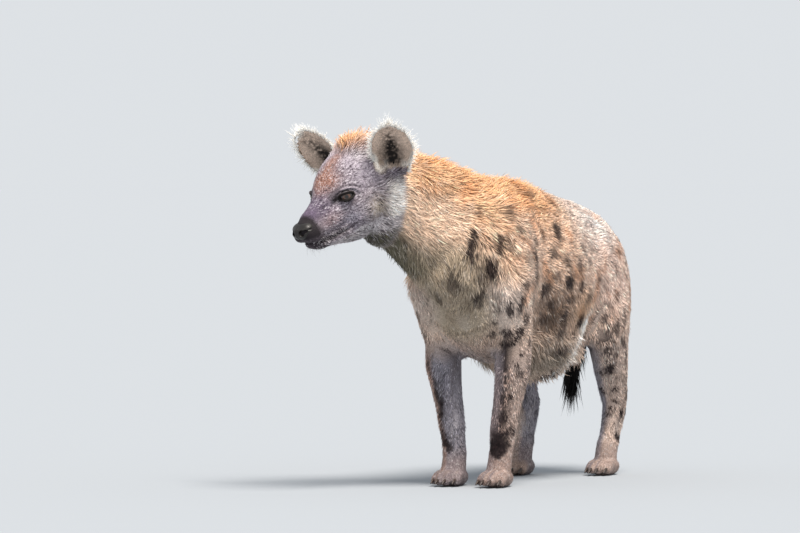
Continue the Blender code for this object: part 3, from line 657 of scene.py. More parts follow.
forms = trunk_forms() + neck_forms() + [skull_form(), jaw_form()]
for name, side in SIDES.items():
    forms += foreleg_forms(side) + hindleg_forms(name)
trunk = calmed(melted(joined("trunk", forms), BODY_GRAIN, 40), CALM_ROUNDS)
clipped(trunk, neck_point + neck_normal * OVERLAP, neck_normal)
clipped(trunk, HOME + up * (PASTERN_HEIGHT - OVERLAP), -up)
parts = [trunk]
head = melted(joined("head_mass", head_forms() + neck_forms()), HEAD_GRAIN, 16)
parts.append(clipped(head, neck_point - neck_normal * OVERLAP, -neck_normal))
for (end, name), (x, y, wide) in PAWS.items():
    lower_leg = foreleg_forms(SIDES[name])[1] if end == "fore" else hindleg_forms(name)[1]
    paw = melted(joined("paw", paw_forms(x, y, wide) + [lower_leg]), PAW_GRAIN, 4)
    parts.append(clipped(paw, HOME + up * (PASTERN_HEIGHT + OVERLAP), up))
tail_and_ears = [loft(TAIL_ROWS, (0, 1, 0), sides=20)] + [ear_form(name) for name in SIDES]
whole = joined("skin", [p.data for p in parts] + tail_and_ears)
for part in parts:
    bpy.data.objects.remove(part)
melted(whole, SKIN_GRAIN, 2)
print("skin points", len(whole.data.vertices))

# %% [markdown]
# ### Where the coat is long
# The solids reach to the tips of the coat, so the skin lies deeper: about 11 mm on the trunk, where
# the hair is long, and 1 to 4 mm on face, ears, legs and feet. Soft steps between heights and
# directions say how much each point belongs to the head, an ear, a leg, a paw or the tail.

# %% Soft steps and bells
def soft_step(low, high, x):
    """Goes softly from 0 to 1 between two values."""
    t = np.clip((x - low) / (high - low), 0, 1)
    return t * t * (3 - 2 * t)


def hump(x, middle, width):
    """A soft bell, 1 in the middle."""
    return np.exp(-(((x - middle) / width) ** 2))


# %% Regions
def ear_place(points, name):
    """Height along the ear as a share, place across it, and place out of its hollow."""
    root, rise, face, across = ear_axes(name)
    away = points - np.array(root)
    return away @ np.array(rise) / EAR_LENGTH, away @ np.array(across), away @ np.array(face)


def on_ear(points, name):
    """How much each point belongs to one ear."""
    v, across, out = ear_place(points, name)
    near = soft_step(0.014, 0.002, np.abs(across) - ear_half_width(np.clip(v, 0, 1)))
    return soft_step(-0.02, 0.10, v) * near * (v < 1.2) * soft_step(-0.075, -0.060, out) * (out < 0.040)


def regions(points, normals):
    """How much each point belongs to each part of the body, from 0 to 1."""
    x, _, z = as_home(points).T
    ahead = (points - np.array(neck_point)) @ np.array(neck_normal)
    ear = np.maximum(on_ear(points, "left"), on_ear(points, "right"))
    leg_front = soft_step(0.17, 0.21, x) * soft_step(0.38, 0.29, z)
    leg_rear = soft_step(-0.15, -0.19, x) * soft_step(0.42, 0.31, z)
    leg = np.maximum(leg_front, leg_rear)
    head = soft_step(-0.030, 0.015, ahead) * (1 - ear)
    crown, under = soft_step(0.30, 0.85, normals[:, 2]), soft_step(0.3, -0.4, normals[:, 2])
    mane = crown * soft_step(-0.06, 0.14, x) * soft_step(0.66, 0.70, z) * (1 - ear)
    along, left, up_ = in_head(points).T
    crest = soft_step(-0.198, -0.232, along) * hump(left, 0, 0.050) * soft_step(0.05, 0.09, up_)
    crest *= 1 - ear
    return {
        "head": head,
        "ear": ear,
        "paw": soft_step(0.115, 0.055, z),
        "leg": leg,
        "tail": soft_step(-0.395, -0.415, x) * soft_step(0.60, 0.56, z),
        "belly": under * soft_step(0.42, 0.33, z) * (1 - leg) * soft_step(0.20, 0.14, x),
        "chest_floor": soft_step(0.17, 0.23, x) * soft_step(0.50, 0.42, z) * (1 - leg),
        "neck": soft_step(0.26, 0.38, x) * (1 - head) * (1 - ear) * soft_step(0.48, 0.54, z),
        "mane": np.maximum(mane * (1 - soft_step(0.0, 0.060, ahead)), crest * (along > -0.45)),
        "crest": crest * (along > -0.40),
    }


def mixed(base, *layers):
    """A value that changes from region to region: each layer is a weight and its own value."""
    for weight, value in layers:
        base = base + (value - base) * weight
    return base


# %% [markdown]
# ### Drawn in by the coat's depth
# Each point moves inwards along its normal, by the depth of the coat at that place. Hollows behind
# the shoulder and before the thigh go deeper, and the belly and the throat are left fuller.

# %% Relief of the trunk
THROAT = np.array(((0.545, -0.140, 0.610), (0.425, -0.095, 0.520)))


def trunk_relief(points):
    """Hollows behind the shoulder and before the thigh, and the fullness of belly and throat."""
    x, y, z = as_home(points).T
    side = np.abs(y)
    hollow = 0.016 * hump(x, 0.150, 0.055) * hump(z, 0.46, 0.13) * soft_step(0.06, 0.12, side)
    hollow += 0.012 * hump(x, -0.150, 0.050) * hump(z, 0.37, 0.06) * soft_step(0.06, 0.12, side)
    hollow += 0.006 * hump(x, -0.06, 0.07) * hump(z, 0.60, 0.08) * soft_step(0.08, 0.13, side)
    hollow -= 0.017 * hump(x, -0.035, 0.085) * hump(z, 0.295, 0.050)
    hollow -= 0.0045 * hump(z, 0.290, 0.070) * soft_step(0.19, 0.22, x) * soft_step(0.080, 0.100, side)
    top, step = THROAT[0], THROAT[1] - THROAT[0]
    away = as_home(points) - top
    share = np.clip(away @ step / (step @ step), 0, 1)
    return hollow - 0.022 * hump(np.linalg.norm(away - share[:, None] * step, axis=1), 0, 0.056)


# %% Draw the skin in
TRUNK_DEPTH, LOWEST_POINT = 0.011, 0.0008
points, normals = points_of(whole.data), normals_of(whole.data)
place = regions(points, normals)
depth = mixed(
    np.full(len(points), TRUNK_DEPTH),
    (place["mane"], 0.006), (place["belly"], 0.007), (place["leg"], 0.0016), (place["tail"], 0.006),
    (place["head"], 0.0026), (place["ear"], 0.0008), (place["paw"], 0.0016),
)
depth *= mixed(1.0, (soft_step(-0.085, -0.055, in_head(points)[:, 0]), 0.35))
drawn_in = points - normals * (depth + trunk_relief(points))[:, None]
drawn_in[:, 2] = np.maximum(drawn_in[:, 2], LOWEST_POINT)
put_points(whole.data, drawn_in)
even = whole.modifiers.new("even", "SMOOTH")
even.factor = 0.5
even.iterations = 2
applied(whole)
print("drawn in by", round(float(depth.min()) * 1000, 1), "to", round(float(depth.max()) * 1000, 1), "mm")

# %% [markdown]
# ### Fine where it is looked at
# The head keeps its points and gets more, and the trunk, which the coat covers, is thinned. So the
# whole skin stays below the 200,000 triangles that one piece may have.

# %% Thin the body
KEPT_SHARE = 0.17
points = points_of(whole.data)
place = regions(points, normals_of(whole.data))
coarse = whole.vertex_groups.new(name="coarse")
for index, weight in enumerate(1 - np.maximum.reduce([place["head"], place["ear"], place["paw"] * 0.7])):
    coarse.add([index], float(weight), "REPLACE")
thin = whole.modifiers.new("thin", "DECIMATE")
thin.ratio = KEPT_SHARE
thin.vertex_group = "coarse"
thin.vertex_group_factor = 3.0
whole.modifiers.new("triangles", "TRIANGULATE")
applied(whole)
whole.vertex_groups.clear()
print("thinned to", len(whole.data.polygons))

# %% Refine the face
work = bmesh.new()
work.from_mesh(whole.data)
work.verts.ensure_lookup_table()
along, left, up_ = in_head(np.array([v.co for v in work.verts])).T
front = (along > -0.190) & (up_ > -0.11) & (up_ < 0.12) & (np.abs(left) < 0.09)
edges = [e for e in work.edges if front[e.verts[0].index] and front[e.verts[1].index]]
bmesh.ops.subdivide_edges(work, edges=edges, cuts=1, smooth=0.5)
bmesh.ops.triangulate(work, faces=work.faces)
work.to_mesh(whole.data)
work.free()
print("skin triangles", len(whole.data.polygons))

# %% [markdown]
# ### Face
# Lips, lids, the corner of the eye, folds of the muzzle and the hollows of the head are carved into
# the skin: each is a soft bell round a line or a point, raised or sunk by 1 to 4 mm.

# %% Eyes' places and the line of the mouth
EYE_RADIUS = 0.0180
EYE_LOOK = (0.60, 0.78, 0.10)
EYE_FRAMES = {}
for name, side in SIDES.items():
    corners = points_of(frame["nodes"][f"eye_{name}"].data)
    centre = Vector((corners.min(axis=0) + corners.max(axis=0)) / 2)
    look = head_direction(EYE_LOOK[0], EYE_LOOK[1] * side, EYE_LOOK[2])
    across = head_direction(0, 0, 1).cross(look).normalized()
    EYE_FRAMES[name] = (centre, Matrix((look, across, look.cross(across))).transposed())
MOUTH = np.array((
    (-0.165, -0.043), (-0.14, -0.053), (-0.10, -0.057), (-0.06, -0.055), (-0.02, -0.049), (0.02, -0.046),
))


def above_mouth(along, up_):
    """How far places of the head are above the line of the mouth."""
    return up_ - np.interp(along, MOUTH[:, 0], MOUTH[:, 1])


def eye_place(points, name):
    """Out of the face, toward the nose and up, measured from the middle of one eyeball."""
    centre, axes = EYE_FRAMES[name]
    out, across, lift = ((points - np.array(centre)) @ np.array(axes)).T
    return out, -across * SIDES[name], lift


def eye_ring(points, name):
    """1 on the edge of the lids, less inside and more outside them."""
    out, inward, lift = eye_place(points, name)
    high = np.where(lift > 0, 0.0100, 0.0088)
    ring = np.sqrt((inward / 0.0178) ** 2 + (lift / high) ** 2)
    return np.where(np.abs(out) < 0.035, ring, 9.0), inward, lift


# %% Carve the face
def near_line(points, path, width):
    """A bell across a path of head places: 1 on the path."""
    places = in_head(points)
    places[:, 1] = np.abs(places[:, 1])
    path = through(path, 8)
    away = np.full(len(points), 9.0)
    for start, end in zip(path, path[1:]):
        step = end - start
        t = np.clip((places - start) @ step / (step @ step), 0, 1)
        away = np.minimum(away, np.linalg.norm(places - start - t[:, None] * step, axis=1))
    return np.exp(-((away / width) ** 2))


CORNER_FOLD = ((-0.150, 0.062, -0.050), (-0.166, 0.070, -0.038), (-0.182, 0.078, -0.018))
WING_FOLD = ((-0.046, 0.034, -0.002), (-0.066, 0.041, -0.014), (-0.092, 0.045, -0.030))
TEAR_FOLD = ((-0.128, 0.048, 0.028), (-0.112, 0.043, 0.022), (-0.094, 0.040, 0.010))
CHEEK_BONE = ((-0.135, 0.060, 0.006), (-0.175, 0.080, 0.006), (-0.225, 0.088, 0.020))


def face_relief(points):
    """How far each point of the face is raised above the melted form, or sunk below it."""
    along, left, up_ = in_head(points).T
    side = np.abs(left)
    off = above_mouth(along, up_)
    # Two lips, the line between them and the cleft below the nose
    lips = soft_step(-0.176, -0.156, along) * (up_ < -0.02)
    raised = lips * (0.0020 * hump(off, 0.0085, 0.006) + 0.0016 * hump(off, -0.0080, 0.006))
    raised -= lips * 0.0046 * hump(off, 0, 0.0022)
    raised -= 0.0014 * hump(left, 0, 0.0016) * soft_step(-0.06, -0.03, along) * (up_ < -0.030) * (off > 0)
    # Middle furrow of brow and throat, pads of the whiskers, hollows before the eye and at the temple
    raised -= 0.0016 * hump(left, 0, 0.007) * soft_step(-0.21, -0.17, along) * soft_step(-0.09, -0.12, along)
    raised += 0.0022 * hump(along, -0.066, 0.017) * hump(up_, -0.030, 0.013) * (side > 0.01)
    raised -= 0.0030 * hump(along, -0.108, 0.018) * hump(side, 0.040, 0.014) * hump(up_, 0.018, 0.016)
    raised -= 0.0030 * hump(along, -0.205, 0.020) * hump(side, 0.075, 0.020) * hump(up_, 0.055, 0.018)
    # Folds at the mouth's corner, the wing of the nose and the tear line, and the cheek bone
    raised -= 0.0022 * near_line(points, CORNER_FOLD, 0.0035) + 0.0014 * near_line(points, WING_FOLD, 0.0035)
    raised -= 0.0020 * near_line(points, TEAR_FOLD, 0.0035)
    raised += 0.0024 * near_line(points, CHEEK_BONE, 0.010)
    # Dip of the bridge, jaw, chin, and wrinkles on the side of the muzzle
    raised -= 0.0040 * hump(along, -0.112, 0.028) * soft_step(0.000, 0.020, up_)
    raised += 0.0045 * hump(along, -0.165, 0.036) * soft_step(-0.050, -0.085, up_)
    raised += 0.0015 * hump(along, -0.060, 0.016) * soft_step(-0.060, -0.070, up_)
    folds = hump(along, -0.118, 0.022) * hump(up_, -0.028, 0.018) * (side > 0.03)
    raised += 0.0007 * folds * np.sin((along * 0.8 - up_) * 2 * math.pi / 0.0095)
    for name in SIDES:
        # Socket, rims of the lids and the creases round them
        ring, _, lift = eye_ring(points, name)
        above = soft_step(-0.004, 0.004, lift)
        raised -= 0.0050 * soft_step(0.98, 0.80, ring)
        raised += 0.0022 * hump(ring, 1.12, 0.16) - 0.0016 * hump(ring, 1.52, 0.12) * above
        raised += 0.0020 * hump(ring, 1.85, 0.22) * above - 0.0009 * hump(ring, 1.50, 0.12) * (1 - above)
    return raised


points, normals = points_of(whole.data), normals_of(whole.data)
touched = in_head(points)[:, 0] > -0.26
relief = np.zeros(len(points))
relief[touched] = face_relief(points[touched])
put_points(whole.data, points + normals * relief[:, None])
print("face carved, deepest", round(float(relief.min()) * 1000, 1), "mm")


# %% [markdown]
# ### Lids
# A lid is a thick rim that lies on the eyeball. A tube is bent into an almond round each eye, just
# outside the ball, and joined to the skin, so it takes the skin's fur and colours.

# %% Lids
def lid_ring(centre, axes, turns=72, sides=14):
    """An almond ring round the eyeball, thick above and thin below, as one closed tube."""
    points = []
    for i in range(turns):
        turn = 2 * math.pi * i / turns
        rising = math.sin(turn)
        wide, high = math.cos(turn) * 0.92, rising * (0.47 if rising > 0 else 0.42)
        ray = Vector((math.sqrt(max(0.05, 1 - wide**2 - high**2)), wide, high)).normalized()
        outward = Vector((0, math.cos(turn), rising))
        bulk = 0.0030 + 0.0012 * max(0, rising)
        for s in range(sides):
            around = 2 * math.pi * s / sides
            lift = EYE_RADIUS + 0.0002 + bulk * math.cos(around)
            points.append(centre + axes @ (ray * lift + outward * bulk * math.sin(around)))
    faces = []
    for i in range(turns):
        for s in range(sides):
            a, b = i * sides + s, i * sides + (s + 1) % sides
            c, d = (i + 1) % turns * sides + (s + 1) % sides, (i + 1) % turns * sides + s
            faces.append((a, b, c, d))
    return mesh_of("lids", points, faces)


skin = joined("skin_and_lids", [whole.data] + [lid_ring(*eye) for eye in EYE_FRAMES.values()])
bpy.data.objects.remove(whole)
skin.name = "skin"
skin.data.shade_smooth()
print("skin with lids", len(skin.data.polygons), "triangles")


# %% [markdown]
# ### Meshes from arrays
# A coat has over a million triangles, which are too many for a loop. Points, faces and colours are
# handed to Blender as whole arrays, and so is noise for their variety.

# %% Meshes from arrays
def mesh_from_arrays(name, points, faces):
    """A mesh of triangles from arrays of points and of point numbers."""
    mesh = bpy.data.meshes.new(name)
    mesh.vertices.add(len(points))
    mesh.vertices.foreach_set("co", np.ascontiguousarray(points, np.float32).ravel())
    mesh.loops.add(faces.size)
    mesh.loops.foreach_set("vertex_index", np.ascontiguousarray(faces, np.int32).ravel())
    mesh.polygons.add(len(faces))
    mesh.polygons.foreach_set("loop_start", np.arange(0, faces.size, 3, dtype=np.int32))
    mesh.update(calc_edges=True)
    mesh.shade_smooth()
    return mesh


def corners_of(mesh):
    """The three point numbers of each triangle."""
    flat = np.empty(len(mesh.polygons) * 3, np.int32)
    mesh.polygons.foreach_get("vertices", flat)
    return flat.reshape(-1, 3)


def add_colours(mesh, colours):
    made = mesh.color_attributes.new("coat_colour", "FLOAT_COLOR", "POINT")
    full = np.ones((len(mesh.vertices), 4), np.float32)
    full[:, :3] = colours
    made.data.foreach_set("color", full.ravel())


def add_values(mesh, name, values):
    made = mesh.attributes.new(name, "FLOAT", "POINT")
    made.data.foreach_set("value", np.ascontiguousarray(values, np.float32))


# %% Noise
def speckle(points, scale, shift=0.0):
    """Noise with no order, about -1 to 1, for grains of about the given size."""
    places = (points / scale + shift).tolist()
    return np.array([noise.noise(place) for place in places]) * 1.6


def ripple(points, scale, seed):
    """Soft noise from a few waves in different directions, about -1 to 1."""
    draw = np.random.default_rng(seed)
    total = np.zeros(len(points))
    for _ in range(7):
        way = unit(draw.normal(size=3)) * 2 * math.pi / (scale * draw.uniform(0.6, 1.7))
        total += np.sin(points @ way + draw.uniform(0, 6.28))
    return total / 3.2


# %% [markdown]
# ## Lie of the hair
# Hair lies away from the nose: back over the face and neck, back and down over the trunk, and down
# the legs. The direction is found for any point, and turned into the plane of the skin there.

# %% Direction at a point
def lie_at(points, normals):
    """The direction in which the hair lies, along the skin."""
    place = regions(points, normals)
    x, _, z = as_home(points).T
    back = np.array(-neck_normal)
    lie = np.tile([-1.0, 0.0, -0.30], (len(points), 1))

    def turned(weight, direction):
        nonlocal lie
        lie = lie + (np.asarray(direction, float) - lie) * weight[:, None]

    turned(soft_step(0.62, 0.48, z), (-0.60, 0, -0.80))
    turned(place["neck"], back * 0.85 + np.array([0, 0, -0.60]))
    turned(soft_step(0.33, 0.40, x) * soft_step(0.64, 0.54, z), (-0.20, 0, -1))
    turned(place["belly"], (-0.70, 0, -0.60))
    turned(place["leg"], (-0.16, 0, -1))
    turned(place["paw"], (0.70, 0, -0.6))
    turned(place["tail"], (0.05, 0, -1))
    turned(place["mane"], back * 0.7 + np.array([-0.5, 0, 0.05]))
    along, left, up_ = in_head(points).T
    spread = np.stack([np.full(len(points), -1.0), 0.30 * np.sign(left), np.full(len(points), 0.02)], axis=1)
    spread[:, 2] -= 0.9 * soft_step(-0.10, -0.24, along) * soft_step(0.05, -0.03, up_)
    turned(place["head"], spread @ np.array(head_axes).T)
    for name in SIDES:
        _, rise, _, across = ear_axes(name)
        side_place = ear_place(points, name)[1]
        outward = np.array(rise) + np.outer(side_place / 0.040, np.array(across))
        turned(on_ear(points, name), outward)
    return square_to(lie, normals)


# %% [markdown]
# ## Markings
# The coat is buff on the flank, near white on the rump, where a painted highlight lies on the pale coat,
# orange on the mane and dark at the throat, which is painted shade, with brown-black spots. Painted
# shade also darkens the hollow behind the shoulder. One function gives the colour of any point, and
# both the skin and the tufts ask it, so that they carry the same markings. Each spot of the side that
# the photo shows is placed by a line of sight from the camera, and the far side gets spots of the same
# kind. Two of the spots in view are painted shade: under the chest and low on the flank.

# %% Spots seen: each row is pixel across, pixel down, half width and half height in pixels, strength
SPOTS_SEEN = (
    (475, 244, 4.7, 14, 1), (479, 214, 2.5, 6, .7), (501, 246, 4, 7.5, .9), (512, 245, 3, 7, .6),
    (492, 270, 6, 9, 1), (536, 256, 3.5, 5, .9), (554, 255, 7, 5, .6), (557, 230, 5.5, 6.5, .9),
    (541, 234, 4, 6, .6), (535, 241, 4, 3, .6), (550, 205, 5, 5, .5), (530, 199, 9, 4, .4),
    (509, 216, 8, 4, .5), (582, 248, 5, 4, .5), (579, 265, 5, 5, .6), (569, 282, 6.5, 6.5, 1),
    (582, 285, 4, 5.5, .8), (556, 277, 5, 3.5, .6), (544, 291, 8, 5.5, .9), (525, 286, 4.5, 4, .8),
    (536, 274, 4, 6, .5), (521, 304, 3.2, 7, .9), (510, 310, 3.2, 8, .9), (479, 296, 4, 5.5, .9),
    (480, 305, 3, 3, .8), (481, 279, 3, 4, .5), (526, 321, 3.2, 6, .9), (494, 322, 2.4, 2.4, .8),
    (506, 334, 4.8, 5.5, 1), (518, 335, 4, 6.8, 1), (493, 335, 3, 3, .9), (562, 318, 3.5, 7, .9),
    (580, 321, 6, 5.5, 1), (593, 322, 3, 4.5, .9), (580, 336, 4, 4, .9), (558, 334, 4, 4, .8),
    (616, 297, 8, 5, .5), (611, 305, 4, 3, .5), (616, 268, 3, 5, .5), (612, 246, 2, 4, .5),
    (626, 265, 2.5, 5, .6), (624, 320, 2.5, 9, .7), (617, 329, 3.5, 6.5, .8), (600, 338, 2.5, 6, .7),
    (610, 336, 3, 5, .8), (623, 344, 2.8, 5, .8), (509, 345, 5.5, 4.5, 1), (521, 356, 3.2, 3.2, 1),
    (529, 344, 2.2, 5, .8), (505, 354, 2.6, 2.4, .8), (506, 367, 3.5, 3, .9), (515, 364, 3.5, 3, .9),
    (518, 374, 3.5, 4.5, .7), (510, 397, 2.2, 3.5, .9), (503, 399, 2.2, 6, 1), (526, 393, 2.2, 5, .8),
    (503, 417, 4.2, 6, 1), (509, 413, 3, 3.5, .9), (510, 432, 4.5, 4.5, 1), (498, 444, 8.5, 11, 1),
    (437, 397, 2.5, 8, .9), (441, 409, 3, 8, 1), (444, 439, 5.5, 6.5, 1), (449, 448, 3, 4, .8),
    (436, 383, 1.8, 3, .7), (608, 370, 4, 6.5, 1), (601, 373, 2.4, 3, .8), (602, 391, 2.9, 3.4, 1),
    (614, 390, 2.9, 3.4, 1), (613, 406, 3.8, 4.4, 1), (609, 416, 2.3, 3, .9), (621, 413, 2.2, 4, 1),
    (606, 422, 2.6, 2.4, 1), (615, 427, 3.8, 3.8, 1), (617, 436, 4, 4.4, 1), (615, 356, 2, 5, .8),
    (615, 364, 2, 4, .8), (606, 350, 2, 4.5, .7), (618, 377, 2.4, 3, .8), (596, 380, 3, 3, .8),
    # The last entry of the next row, at 542, 319, is painted shade low on the flank, not a spot
    (559, 350, 7.5, 3.5, .8), (544, 370, 7.5, 4.5, .8), (562, 329, 4, 8, .6), (542, 319, 6, 5, .5),
    # The first entry of the next row, at 449, 353, is painted shade in the fold under the chest, not a spot
    (449, 353, 6.5, 4.5, .6), (454, 284, 6, 8, .5), (411, 293, 3, 9, .8), (419, 318, 3, 5, .6),
    (424, 335, 3, 6, .6), (440, 300, 4, 6, .3), (590, 262, 4, 3, .5), (598, 280, 4, 3, .5),
    (604, 318, 3, 5, .6), (588, 299, 5, 4, .6), (570, 300, 6, 4, .6), (566, 262, 5, 4, .5),
    (526, 262, 3, 4, .5), (520, 228, 4, 4, .4), (536, 226, 4, 4, .4), (572, 215, 4, 3, .4),
    (551, 305, 5, 4, .7), (572, 335, 5, 3, .7), (590, 350, 3, 5, .6), (500, 300, 3, 3, .5),
    (498, 310, 2.5, 3, .6),
)

# %% Spots on the skin
LOW_SPOT_HEIGHT, HIGH_GROWTH, LOW_GROWTH = 0.40, 1.32, 1.30
skin_points, skin_normals = points_of(skin.data), normals_of(skin.data)
skin_corners = corners_of(skin.data)
skin_tree = BVHTree.FromPolygons([tuple(p) for p in skin_points], skin_corners.tolist())
spots = []
for across_pixel, down_pixel, wide, high, strength in SPOTS_SEEN:
    hit = skin_tree.ray_cast(camera.location, sight_line((across_pixel, down_pixel)))[0]
    if hit is not None:
        growth = (HIGH_GROWTH if hit.z > LOW_SPOT_HEIGHT else LOW_GROWTH) / PIXELS_PER_METRE
        spots.append((*hit, wide * growth, high * growth, strength**0.6))
print("spots seen", len(spots))

# %% [markdown]
# ### Spots of the hidden sides
# No two hyenas share a pattern, so the sides that the photo hides get spots by chance, of the same
# size as those in view, and no closer to a neighbour than those stand. The seed keeps them in place.

# %% Spots of the sides that the photo hides
SPOTS_TRIED = 5000
TRUNK_SPACING, LEG_SPACING, LEG_SPOT_SHARE = 0.046, 0.030, 0.68
rng = np.random.default_rng(21)
x, y, z = as_home(skin_points).T
seen = (skin_normals @ np.array(VIEW_BACK) > 0.12) & (y > -0.02)
on_trunk = (z > 0.40) & (z < 0.72) & (x > -0.37) & (x < 0.32) & (np.abs(skin_normals[:, 2]) < 0.75) & ~seen
on_leg = (z > 0.09) & (z < 0.40) & (np.abs(skin_normals[:, 1]) > 0.4) & ((x > 0.19) | (x < -0.17))
on_leg &= skin_normals[:, 1] * y > 0
for index in rng.permutation(np.flatnonzero(on_trunk | on_leg))[:SPOTS_TRIED]:
    point, large = skin_points[index], on_trunk[index]
    apart = (TRUNK_SPACING if large else LEG_SPACING) * rng.uniform(0.8, 1.3)
    if min(math.dist(point, other[:3]) for other in spots) > apart:
        size = rng.uniform(0.0100, 0.0165) * (1 if large else LEG_SPOT_SHARE)
        spots.append((*point, size * 0.9, size * rng.uniform(0.8, 1.5), rng.uniform(0.6, 1.0)))
print("spots in all", len(spots))


# %% Darkness of the spots
def spot_shade(points):
    """How dark the spots make each point, from 0 to 1."""
    shade = np.zeros(len(points))
    wobble = 0.24 * ripple(points, 0.018, 5)
    for x, y, z, wide, high, strength in spots:
        spot = np.array((x, y, z))
        near = np.abs(points - spot).max(axis=1) < 2 * max(wide, high)
        if near.any():
            across, ahead, rise = (points[near] - spot).T
            reach = np.sqrt((across**2 + ahead**2) / wide**2 + rise**2 / high**2) + wobble[near]
            shade[near] = np.maximum(shade[near], strength * soft_step(1.25, 0.80, reach))
    return shade


# %% [markdown]
# ### Washes
# A painter lays thin washes over a buff ground. Each wash here is a colour and how strongly it covers
# each point. On the trunk a wash is a soft ball, on head and ears it follows their own directions.

# %% Washes of the trunk: place, reach along x, y and z, colour and strength
TRUNK_WASHES = (
    # Upper rump: its pale coat painted near white, with a painted highlight where the sun falls
    (-0.190, 0.110, 0.660, 0.17, 0.10, 0.10, "#FFF1EA", 1.00),
    (-0.230, 0.150, 0.500, 0.14, 0.10, 0.13, "#F8DBCD", 0.85),
    (0.120, 0.100, 0.690, 0.15, 0.12, 0.08, "#F3C49C", 0.90),
    (0.280, 0.030, 0.740, 0.16, 0.12, 0.07, "#F5BC8C", 0.95),
    (0.090, 0.160, 0.570, 0.12, 0.10, 0.09, "#EAC4A8", 0.80),
    # Painted shade in the hollow behind the shoulder, low on the flank
    (0.100, 0.140, 0.415, 0.10, 0.10, 0.080, "#5C4636", 0.95),
    (-0.060, 0.150, 0.430, 0.07, 0.10, 0.05, "#CFA47C", 0.75),
    (0.370, 0.110, 0.600, 0.08, 0.08, 0.09, "#EBD3C6", 0.80),
    (0.360, 0.110, 0.450, 0.08, 0.07, 0.08, "#E4D4CA", 0.80),
    (0.020, 0.080, 0.310, 0.18, 0.10, 0.05, "#8F8375", 0.95),
)


# %% Washes of the ears
def ear_colours(points, normals, wash):
    for name in SIDES:
        v, across, _ = ear_place(points, name)
        mine = on_ear(points, name)
        edge = np.abs(across) / ear_half_width(np.clip(v, 0, 1))
        inside = soft_step(-0.1, 0.5, normals @ np.array(ear_axes(name)[2]))
        wash(mine, "#B5A28E")
        wash(mine * inside, "#DCC4B2")
        ragged = 0.30 * speckle(points, 0.007, 2.0)
        dark = hump(across + 0.005, 0, 0.016 + 0.013 * soft_step(0.8, 0.3, v))
        dark = dark * soft_step(0.95, 0.45, v + ragged)
        wash(mine * inside * np.clip(dark * soft_step(0.0, 0.12, v) * (1.1 + ragged), 0, 1), "#150E0B")
        wash(mine * soft_step(0.90, 1.0, np.maximum(edge, (v - 0.01) / 0.97)), "#F6EEE4")
        wash(mine * soft_step(0.20, 0.05, v) * inside * soft_step(0.010, 0.024, np.abs(across)), "#E6DDD4")


